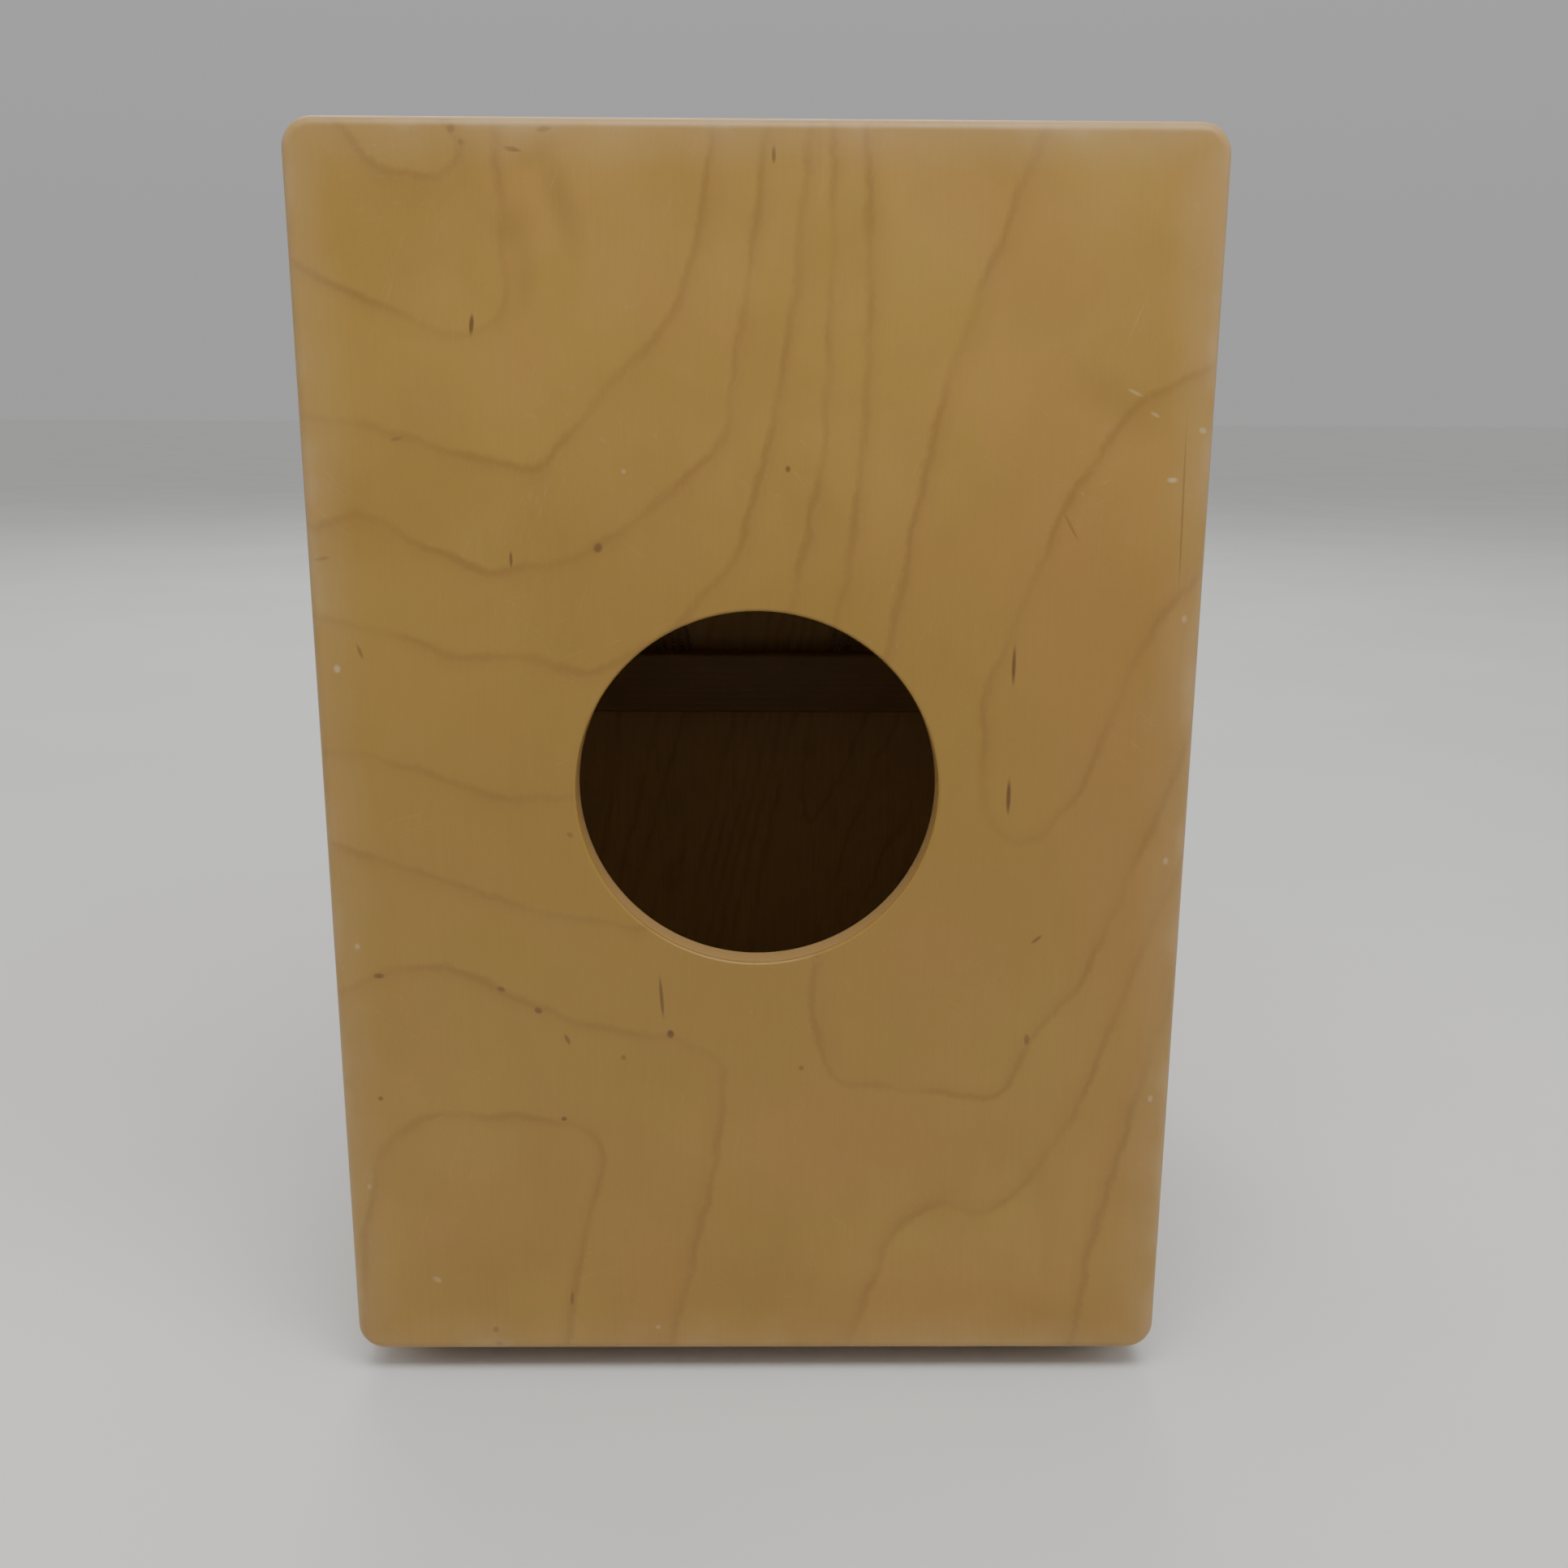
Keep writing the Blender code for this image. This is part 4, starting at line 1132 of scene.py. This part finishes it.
def foot_mesh(top):
    """A tapered foot with rounded edges, a parting line and a stepped recess for its screw."""
    ease = FOOT_RECESS_EASE
    recess = [(FOOT_BORE_RADIUS, FOOT_RECESS_DEPTH), (FOOT_RECESS_RADIUS - ease, FOOT_RECESS_DEPTH)]
    recess += [(FOOT_RECESS_RADIUS, FOOT_RECESS_DEPTH - ease), (FOOT_RECESS_RADIUS, 0.0006)]
    recess.append((FOOT_RECESS_RADIUS + 0.0005, 0.0))
    rim = arc(FOOT_TIP_RADIUS - FOOT_EDGE, FOOT_EDGE, FOOT_EDGE, 270, 360, 6)
    parting = top - FOOT_PARTING_DROP
    slope = (FOOT_RADIUS - FOOT_TIP_RADIUS) / (top - 2 * FOOT_EDGE)
    line = []
    for z, bulge in (
        (parting - FOOT_PARTING_HALF, 0.0),
        (parting, FOOT_PARTING_BULGE),
        (parting + FOOT_PARTING_HALF, 0.0),
    ):
        line.append((FOOT_TIP_RADIUS + slope * (z - FOOT_EDGE) + bulge, z))
    shoulder = arc(FOOT_RADIUS - FOOT_EDGE / 2, top - FOOT_EDGE / 2, FOOT_EDGE / 2, 0, 90, 5)
    shape = bmesh.new()
    profile = recess + FOOT_TREAD + rim + line + shoulder + [(FOOT_BORE_RADIUS, top)]
    rings = add_turned(shape, profile, FOOT_SIDES)
    skin(shape, [rings[-1], rings[0]])
    return finish_mesh("rubber_foot", shape)


def washer_mesh(name, inner, outer, thickness, sides=48):
    """A flat washer about local Z with its edges broken, its top at Z = 0."""
    broken = thickness * 0.25
    profile = [(inner, -broken), (inner + broken, 0.0), (outer - broken, 0.0), (outer, -broken)]
    profile += [(outer, broken - thickness), (outer - broken, -thickness), (inner + broken, -thickness)]
    profile.append((inner, broken - thickness))
    shape = bmesh.new()
    rings = add_turned(shape, profile, sides)
    skin(shape, [rings[-1], rings[0]])
    return finish_mesh(name, shape, 30)


rubber = moulded_rubber()
zinc = plated_steel("zinc_plate", ZINC, ZINC_YELLOW, 0.30)
foot_screw = screw_mesh("foot_screw", FOOT_SCREW, countersunk=False)
foot_washer = washer_mesh("foot_washer", WASHER_HOLE_RADIUS, WASHER_RADIUS, WASHER_THICKNESS)
for index in range(1, 5):
    low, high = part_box(f"rubber_foot_{index}")
    middle = ((low[0] + high[0]) / 2, (low[1] + high[1]) / 2)
    if index == 1:
        foot = foot_mesh(high[2])
    standing = Matrix.Translation((*middle, 0.0)) @ Matrix.Rotation(1.3 * index, 4, "Z")
    add_piece(f"moulded_foot_{index}", foot, rubber, (f"rubber_foot_{index}",), place=standing)
    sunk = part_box(f"foot_screw_{index}")[0][2]
    screwed = facing((*middle, sunk), (0, 0, -1), 0.7 * index)
    name = f"foot_screw_{index}"
    add_piece(name + "_turned", foot_screw, zinc, (name,), place=screwed)
    seated = facing((*middle, sunk + FOOT_SCREW["head"]), (0, 0, -1))
    add_piece(f"foot_washer_{index}", foot_washer, zinc, place=seated)


# -----------------------------------------------------------------------------
# Tapa. The playing plate: 3 mm plywood of three plies with a finer face veneer, its grain upright. It is
# drilled and countersunk for a ring of screws into the panels' edges, and its front edge is lightly rounded.
# -----------------------------------------------------------------------------
TAPA_PLY = 0.001
FRONT_ARRIS = 0.0012
TAPA_SCREW = {"radius": 0.0035, "head": 0.0018, "shank": 0.0016, "length": 0.020, "pitch": 0.0014}

tapa_low, tapa_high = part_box("tapa")
ends = ((tapa_low[0], tapa_low[2]), (tapa_high[0], tapa_high[2]))
back, face = tapa_high[1], tapa_low[1]
outlines = [(back, rounded_outline(*ends, CORNER_RADIUS, 0.0))]
for depth, inset in arc(0.0, FRONT_ARRIS, FRONT_ARRIS, 270, 360, 6):
    outlines.append((face + FRONT_ARRIS - depth, rounded_outline(*ends, CORNER_RADIUS, inset)))
outlines.append((face, rounded_outline(*ends, CORNER_RADIUS, FRONT_ARRIS + FLAT_MARGIN)))

tapa_screw_places = []
holes = []
for index in range(1, 15):
    low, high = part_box(f"tapa_screw_{index:02d}")
    centre = ((low[0] + high[0]) / 2, (low[2] + high[2]) / 2)
    tapa_screw_places.append(Vector((centre[0], low[1], centre[1])))
    size = (TAPA_SCREW["radius"], TAPA_SCREW["shank"], TAPA_SCREW["head"] + low[1] - face)
    holes.append(countersunk_hole(centre, 32, face, back, -1, *size))
tapa_mesh = board_mesh("playing_plate", lambda a, b, level: (a, level, b), outlines, holes)
lay_figure(tapa_mesh, rolling_figure(41, (0, 1, 2), 1.9), (0, 1, 2))
tapa_finish = birch_ply(
    "playing_plate_birch", ("X", "Y", "Z"), face, -1, (tapa_low, tapa_high), TAPA_PLY, 3.0
)
add_piece("playing_plate", tapa_mesh, tapa_finish, ("tapa",))


# -----------------------------------------------------------------------------
# Tapa screws. Fourteen zinc-plated countersunk screws, driven just below the surface by hand, so that no two
# crosses stand at the same angle.
# -----------------------------------------------------------------------------
GOLDEN_TURN = 2.4

tapa_screw = screw_mesh("tapa_screw", TAPA_SCREW, countersunk=True)
for index, place in enumerate(tapa_screw_places, start=1):
    name = f"tapa_screw_{index:02d}"
    driven = facing(place, (0, -1, 0), GOLDEN_TURN * index)
    add_piece(name + "_driven", tapa_screw, zinc, (name,), place=driven)


# -----------------------------------------------------------------------------
# Snare bar. A planed beech bar from side panel to side panel, its four long edges eased, with a hole in each
# end for the screw that it turns on. It rides on the snare unit, which leans the snares against the tapa.
# -----------------------------------------------------------------------------
BAR_HEIGHT = 0.030
BAR_DEPTH = 0.018
BAR_EASE = 0.0015
BAR_END = 0.0004
BAR_END_SHRINK = 0.975
BAR_STEP = 0.010
PIVOT_HOLE_DEPTH = 0.028
DRILL_CLEAR = 0.002
SNARE_LEAN = math.radians(3.0)
BEECH = (0.370, 0.224, 0.096, 1.0)
BEECH_LATE = (0.315, 0.180, 0.072, 1.0)
BEECH_FLECK = (0.215, 0.108, 0.040, 1.0)

PIVOT = Matrix.Translation((0.0, PIVOT_Y, PIVOT_Z)) @ Matrix.Rotation(SNARE_LEAN, 4, "X")
bar_low, bar_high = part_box("snare_bar")


def beech_finish():
    """Planed beech: faint rings, and the short dark dashes of its rays along the grain."""
    axes = ("Y", "Z", "X")
    finish = planed_wood("planed_beech", axes, (0.03, 0.06, 0.0), 0.0034, BEECH, BEECH_LATE, 0.40, 0.55)
    tree = finish.node_tree
    shader = tree.nodes["Principled BSDF"]
    place = along_grain(tree, axes)
    cells = {"Vector": scaled(tree, place, (1.0, 1.0, 0.28)), "Scale": 620.0, "Randomness": 1.0}
    distance = node(tree, "TexVoronoi", cells).outputs["Distance"]
    rays = times(tree, fade(tree, distance, 0.10, 0.24, 1.0, 0.0), 0.45)
    plain = shader.inputs["Base Color"].links[0].from_socket
    put_in(tree, shader.inputs["Base Color"], tint(tree, rays, plain, BEECH_FLECK))
    return finish


def bar_mesh():
    """The bar about its own middle, with eased edges, broken ends and a hole in each end."""
    half_length = (bar_high[0] - bar_low[0]) / 2
    y, z = BAR_DEPTH / 2, BAR_HEIGHT / 2
    section = rounded_section([(y, -z), (y, z), (-y, z), (-y, -z)], [BAR_EASE] * 4, 6)
    shape = bmesh.new()
    rings = []
    stations = even(-half_length + BAR_END, half_length - BAR_END, BAR_STEP)
    for x in (-half_length, *stations, half_length):
        shrink = BAR_END_SHRINK if abs(x) == half_length else 1.0
        rings.append([shape.verts.new((x, a * shrink, b * shrink)) for a, b in section])
    skin(shape, rings, closed=True)
    bar = finish_mesh("beech_bar", shape)
    for side in (-1, 1):
        drill = bmesh.new()
        drilled = [(PIVOT_SHANK_RADIUS + FIT, z) for z in (-PIVOT_HOLE_DEPTH, DRILL_CLEAR)]
        add_turned(drill, drilled, 32, closed=True)
        drill.transform(facing((side * half_length, 0, 0), (side, 0, 0)))
        bar = carve("beech_bar", bar, finish_mesh("drill", drill))
    return bar


beech = beech_finish()
add_piece("beech_bar", bar_mesh(), beech, ("snare_bar",), "snare_unit", PIVOT)


# -----------------------------------------------------------------------------
# Pivot screws and washers. One longer countersunk screw in through each side panel and on into the bar's end,
# with a natural nylon washer between the bar and the panel. The box holds them still while the bar turns.
# -----------------------------------------------------------------------------
PIVOT_SCREW = {"radius": PIVOT_HEAD_RADIUS, "head": PIVOT_HEAD, "shank": PIVOT_SHANK_RADIUS}
PIVOT_SCREW |= {"length": 0.040, "pitch": 0.0018}
NYLON = (0.700, 0.680, 0.610, 1.0)
NYLON_AGED = (0.640, 0.560, 0.400, 1.0)


def nylon_finish():
    """Natural nylon: milky, yellowed in patches, with a fine turned grain."""
    finish, tree, shader = new_finish("natural_nylon")
    place = own_place(tree)
    aged = fade(tree, noise(tree, place, 210.0, 3.0), 0.35, 0.70)
    put_in(tree, shader.inputs["Base Color"], tint(tree, aged, NYLON, NYLON_AGED))
    put_in(tree, shader.inputs["Roughness"], maths(tree, "MULTIPLY_ADD", aged, 0.12, 0.38))
    add_bump(tree, shader, noise(tree, place, 1900.0, 2.0), 0.2, 0.0001)
    shader.inputs["Subsurface Weight"].default_value = 0.15
    shader.inputs["Subsurface Radius"].default_value = (0.002, 0.002, 0.001)
    return finish


nylon = nylon_finish()
pivot_screw = screw_mesh("pivot_screw", PIVOT_SCREW, countersunk=True)
for hand, out in (("left", 1), ("right", -1)):
    low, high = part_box(f"pivot_screw_{hand}")
    head_top = high[0] if out > 0 else low[0]
    driven = facing((head_top, PIVOT_Y, PIVOT_Z), (out, 0, 0), 0.9 + out * 0.5)
    name = f"pivot_screw_{hand}"
    add_piece(name + "_driven", pivot_screw, zinc, (name,), place=driven)
    low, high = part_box(f"bar_washer_{hand}")
    outer_face = high[0] if out > 0 else low[0]
    radius = (high[2] - low[2]) / 2
    washer = washer_mesh(f"nylon_washer_{hand}", PIVOT_SHANK_RADIUS + FIT, radius, high[0] - low[0])
    seated = facing((outer_face, PIVOT_Y, PIVOT_Z), (out, 0, 0))
    add_piece(f"nylon_washer_{hand}", washer, nylon, (f"bar_washer_{hand}",), place=seated)


# -----------------------------------------------------------------------------
# Snare fans. Two fans of ten coiled steel wires, soldered to a steel plate and spread outwards. Two pan-head
# screws hold each plate to the front of the bar.
# -----------------------------------------------------------------------------
STRANDS = 10
STRAND_PITCH = 0.0042
COIL_RADIUS = 0.0011
COIL_WIRE = 0.00023
COIL_PITCH = 0.0013
STRAND_LENGTH = 0.165
FAN_SPREAD = math.radians(14.0)
FAN_OFFSET = 0.052
PLATE_HEIGHT = 0.014
PLATE_THICKNESS = 0.001
PLATE_HALF_WIDTH = 0.028
PLATE_CORNER = 0.002
PLATE_SCREW_REACH = 0.0235
PLATE_GAP = 0.0003
PLATE_SCREW = {"radius": 0.0030, "head": 0.0016, "shank": 0.0013, "length": 0.011, "pitch": 0.0012}
PLATE_FRONT = BAR_DEPTH / 2 + PLATE_GAP + PLATE_THICKNESS
STRAND_PLANE = PLATE_FRONT + COIL_RADIUS * 0.45
STRAND_FOOT = -0.30 * PLATE_HEIGHT
WIRE_BRIGHT = (0.620, 0.610, 0.585, 1.0)
WIRE_DULL = (0.480, 0.450, 0.400, 1.0)
SOLDER = (0.520, 0.525, 0.530, 1.0)
SOLDER_DULL = (0.330, 0.320, 0.305, 1.0)
SOLDER_OVERHANG = 0.0028
SOLDER_STEP = 0.00045
SOLDER_SPREAD = 0.0011
SOLDER_TAPER = 0.002
SOLDER_LIFT = 0.00005


def strand_x(index):
    """How far a strand stands from the middle of its fan."""
    return (index - (STRANDS - 1) / 2) * STRAND_PITCH


def coils_mesh(name):
    """Every strand of a fan as a coil of round wire."""
    per_turn, around = 9, 5
    turns = STRAND_LENGTH / COIL_PITCH
    angle = np.linspace(0, math.tau * turns, round(per_turn * turns) + 1)
    swing = np.linspace(0, math.tau, around, endpoint=False)
    reach = COIL_RADIUS - COIL_WIRE
    out = np.stack([np.cos(angle), np.sin(angle), np.zeros_like(angle)], 1)
    rise = COIL_PITCH / math.tau
    tangent = np.stack([-reach * np.sin(angle), reach * np.cos(angle), np.full_like(angle, rise)], 1)
    tangent /= np.linalg.norm(tangent, axis=1)[:, None]
    aside = np.cross(tangent, out)
    middle = out * reach
    middle[:, 2] = STRAND_FOOT + COIL_WIRE + rise * angle * (1 - 2 * COIL_WIRE / STRAND_LENGTH)
    ring = np.cos(swing)[None, :, None] * out[:, None] + np.sin(swing)[None, :, None] * aside[:, None]
    wire = (middle[:, None] + COIL_WIRE * ring).reshape(-1, 3)
    count = len(angle)
    start = np.arange(count - 1)[:, None] * around + np.arange(around)[None]
    following = np.arange(count - 1)[:, None] * around + (np.arange(around) + 1)[None] % around
    quads = np.stack([start, following, following + around, start + around], 2).reshape(-1, 4)
    points = []
    faces = []
    for index in range(STRANDS):
        first = index * len(wire)
        points.append(wire + (strand_x(index), -STRAND_PLANE, 0.0))
        faces += (quads + first).tolist()
        faces.append([first + i for i in reversed(range(around))])
        faces.append([first + len(wire) - around + i for i in range(around)])
    mesh = bpy.data.meshes.new(name)
    mesh.from_pydata(np.concatenate(points).tolist(), [], faces)
    mesh.shade_smooth()
    return mesh


def plate_mesh(name):
    """A fan's plate: stamped sheet with rounded corners, its edges just rolled, drilled for two screws."""
    corners = [(x * PLATE_HALF_WIDTH, z * PLATE_HEIGHT / 2) for x, z in ((1, -1), (1, 1), (-1, 1), (-1, -1))]
    outlines = []
    rolled = 0.0002
    rolls = ((0.0, rolled), (rolled, 0.0), (PLATE_THICKNESS - rolled, 0.0), (PLATE_THICKNESS, rolled))
    for y, inset in rolls:
        shrunk = [(x - math.copysign(inset, x), z - math.copysign(inset, z)) for x, z in corners]
        outlines.append((-PLATE_FRONT + PLATE_THICKNESS - y, rounded_section(shrunk, [PLATE_CORNER] * 4, 6)))
    radius = PLATE_SCREW["shank"] + FIT
    holes = [((x, 0.0), 24, [(level, radius) for level in (-PLATE_FRONT + PLATE_THICKNESS, -PLATE_FRONT)])
             for x in (-PLATE_SCREW_REACH, PLATE_SCREW_REACH)]
    return board_mesh(name, lambda a, b, level: (a, level, b), outlines, holes, FIGURE_STEP)


def solder_mesh(name, seed):
    """The run of solder across the strands' feet: a lumpy bead that rises round each strand."""
    chance = np.random.default_rng(seed)
    lumps = chance.uniform(0.8, 1.2, STRANDS)
    end = strand_x(STRANDS - 1) + SOLDER_OVERHANG
    base = -PLATE_FRONT + SOLDER_LIFT
    shape = bmesh.new()
    rings = []
    for x in even(-end, end, SOLDER_STEP):
        nearest = min(range(STRANDS), key=lambda i: abs(strand_x(i) - x))
        rise = math.exp(-(((x - strand_x(nearest)) / SOLDER_SPREAD) ** 2)) * lumps[nearest]
        taper = min(1.0, max(0.05, (end - abs(x)) / SOLDER_TAPER))
        height = taper * (0.0003 + 0.0009 * rise)
        width = taper * (0.0022 + 0.0010 * rise)
        middle = 0.0004 * math.sin(x * 900)
        ring = [(x, base, middle + width), (x, base, middle - width)]
        for a, b in arc(0.0, 0.0, 1.0, 200, 340, 9):
            ring.append((x, -PLATE_FRONT + height * b, middle + width * a * 0.96))
        rings.append([shape.verts.new(point) for point in ring])
    skin(shape, rings, closed=True)
    return finish_mesh(name, shape, 70)


wire_steel = plated_steel("snare_wire", WIRE_BRIGHT, WIRE_DULL, 0.24)
plate_steel = plated_steel("snare_plate", WIRE_BRIGHT, WIRE_DULL, 0.30)
solder_tin = plated_steel("solder", SOLDER, SOLDER_DULL, 0.34)
plate_screw = screw_mesh("plate_screw", PLATE_SCREW, countersunk=False)
coils = coils_mesh("snare_coils")
plate = plate_mesh("snare_plate")
for hand, out in (("left", 1), ("right", -1)):
    spread = PIVOT @ Matrix.Translation((out * FAN_OFFSET, 0, 0)) @ Matrix.Rotation(out * FAN_SPREAD, 4, "Y")
    solder = solder_mesh(f"solder_run_{hand}", 50 + out)
    for name, mesh, finish, nodes in (
        (f"snare_coils_{hand}", coils.copy(), wire_steel, (f"snare_fan_{hand}",)),
        (f"snare_plate_{hand}", plate.copy(), plate_steel, ()),
        (f"solder_run_{hand}", solder, solder_tin, ()),
    ):
        add_piece(name, mesh, finish, nodes, "snare_unit", spread)
    for index, x in enumerate((-PLATE_SCREW_REACH, PLATE_SCREW_REACH), start=1):
        head_top = -(PLATE_FRONT + PLATE_GAP + PLATE_SCREW["head"])
        driven = spread @ facing((x, head_top, 0), (0, -1, 0), 0.8 * index + out)
        name = f"plate_screw_{hand}_{index}"
        add_piece(name + "_driven", plate_screw, zinc, (name,), "snare_unit", driven)


# -----------------------------------------------------------------------------
# Floor, light and camera. A pale floor in a soft white studio: a light above and behind the rear panel, a
# fainter one on each side, a large soft one high beyond the playing plate, and a pale world all round. The
# camera looks at the rear panel from above its middle.
# -----------------------------------------------------------------------------
FLOOR_REACH = 30.0
FLOOR_ROUGHNESS = 0.80
FLOOR_SHINE = 0.2
PALE_FLOOR = (0.730, 0.722, 0.705, 1.0)
PALE_FLOOR_WORN = (0.700, 0.692, 0.675, 1.0)
STUDIO_LOW = (0.640, 0.640, 0.640, 1.0)
STUDIO_HIGH = (0.880, 0.885, 0.895, 1.0)
STUDIO_STRENGTH = 0.61
CAMERA_PLACE = (-0.0033, 0.6741, 0.3577)
CAMERA_PITCH = 13.65
CAMERA_HEADING = 179.35
CAMERA_ROLL = 0.30
CAMERA_LENS = 35.9
CAMERA_NEAR = 0.01

floor_finish, tree, shader = new_finish("pale_floor")
clouds = fade(tree, noise(tree, own_place(tree), 3.0, 5.0), 0.3, 0.7)
put_in(tree, shader.inputs["Base Color"], tint(tree, clouds, PALE_FLOOR, PALE_FLOOR_WORN))
shader.inputs["Roughness"].default_value = FLOOR_ROUGHNESS
shader.inputs["Specular IOR Level"].default_value = FLOOR_SHINE
sheet = bmesh.new()
bmesh.ops.create_grid(sheet, x_segments=8, y_segments=8, size=FLOOR_REACH)
floor_mesh = finish_mesh("studio_floor", sheet)
floor_mesh.materials.append(floor_finish)
floor = bpy.data.objects.new("studio_floor", floor_mesh)
bpy.context.scene.collection.objects.link(floor)

for name, place, aim, width, height, power in (
    ("overhead_light", (-0.10, 0.52, 1.02), (0.0, 0.12, 0.40), 0.8, 0.4, 7.2),
    ("left_light", (2.2, 0.5, 1.3), (0.0, 0.0, 0.25), 1.2, 1.6, 6.0),
    ("right_light", (-2.2, 0.5, 1.3), (0.0, 0.0, 0.25), 1.2, 1.6, 6.0),
    ("front_light", (0.3, -2.3, 2.9), (0.0, -0.6, 0.0), 2.4, 2.0, 56.0),
):
    lamp = bpy.data.lights.new(name, "AREA")
    lamp.shape = "RECTANGLE"
    lamp.size = width
    lamp.size_y = height
    lamp.energy = power
    light = bpy.data.objects.new(name, lamp)
    light.matrix_world = facing(place, Vector(place) - Vector(aim))
    bpy.context.scene.collection.objects.link(light)

world = bpy.data.worlds.new("pale_studio")
world.use_nodes = True
sky = world.node_tree
height = part_of(sky, node(sky, "TexCoord").outputs["Generated"], "Z")
dome = tint(sky, fade(sky, height, 0.0, 0.8), STUDIO_LOW, STUDIO_HIGH)
put_in(sky, sky.nodes["Background"].inputs["Color"], dome)
sky.nodes["Background"].inputs["Strength"].default_value = STUDIO_STRENGTH
bpy.context.scene.world = world

camera_data = bpy.data.cameras.new("camera")
camera_data.lens = CAMERA_LENS
camera_data.clip_start = CAMERA_NEAR
camera = bpy.data.objects.new("camera", camera_data)
camera.matrix_world = (
    Matrix.Translation(CAMERA_PLACE)
    @ Matrix.Rotation(math.radians(CAMERA_HEADING), 4, "Z")
    @ Matrix.Rotation(math.radians(90 - CAMERA_PITCH), 4, "X")
    @ Matrix.Rotation(math.radians(CAMERA_ROLL), 4, "Z")
)
bpy.context.scene.collection.objects.link(camera)
bpy.context.scene.camera = camera
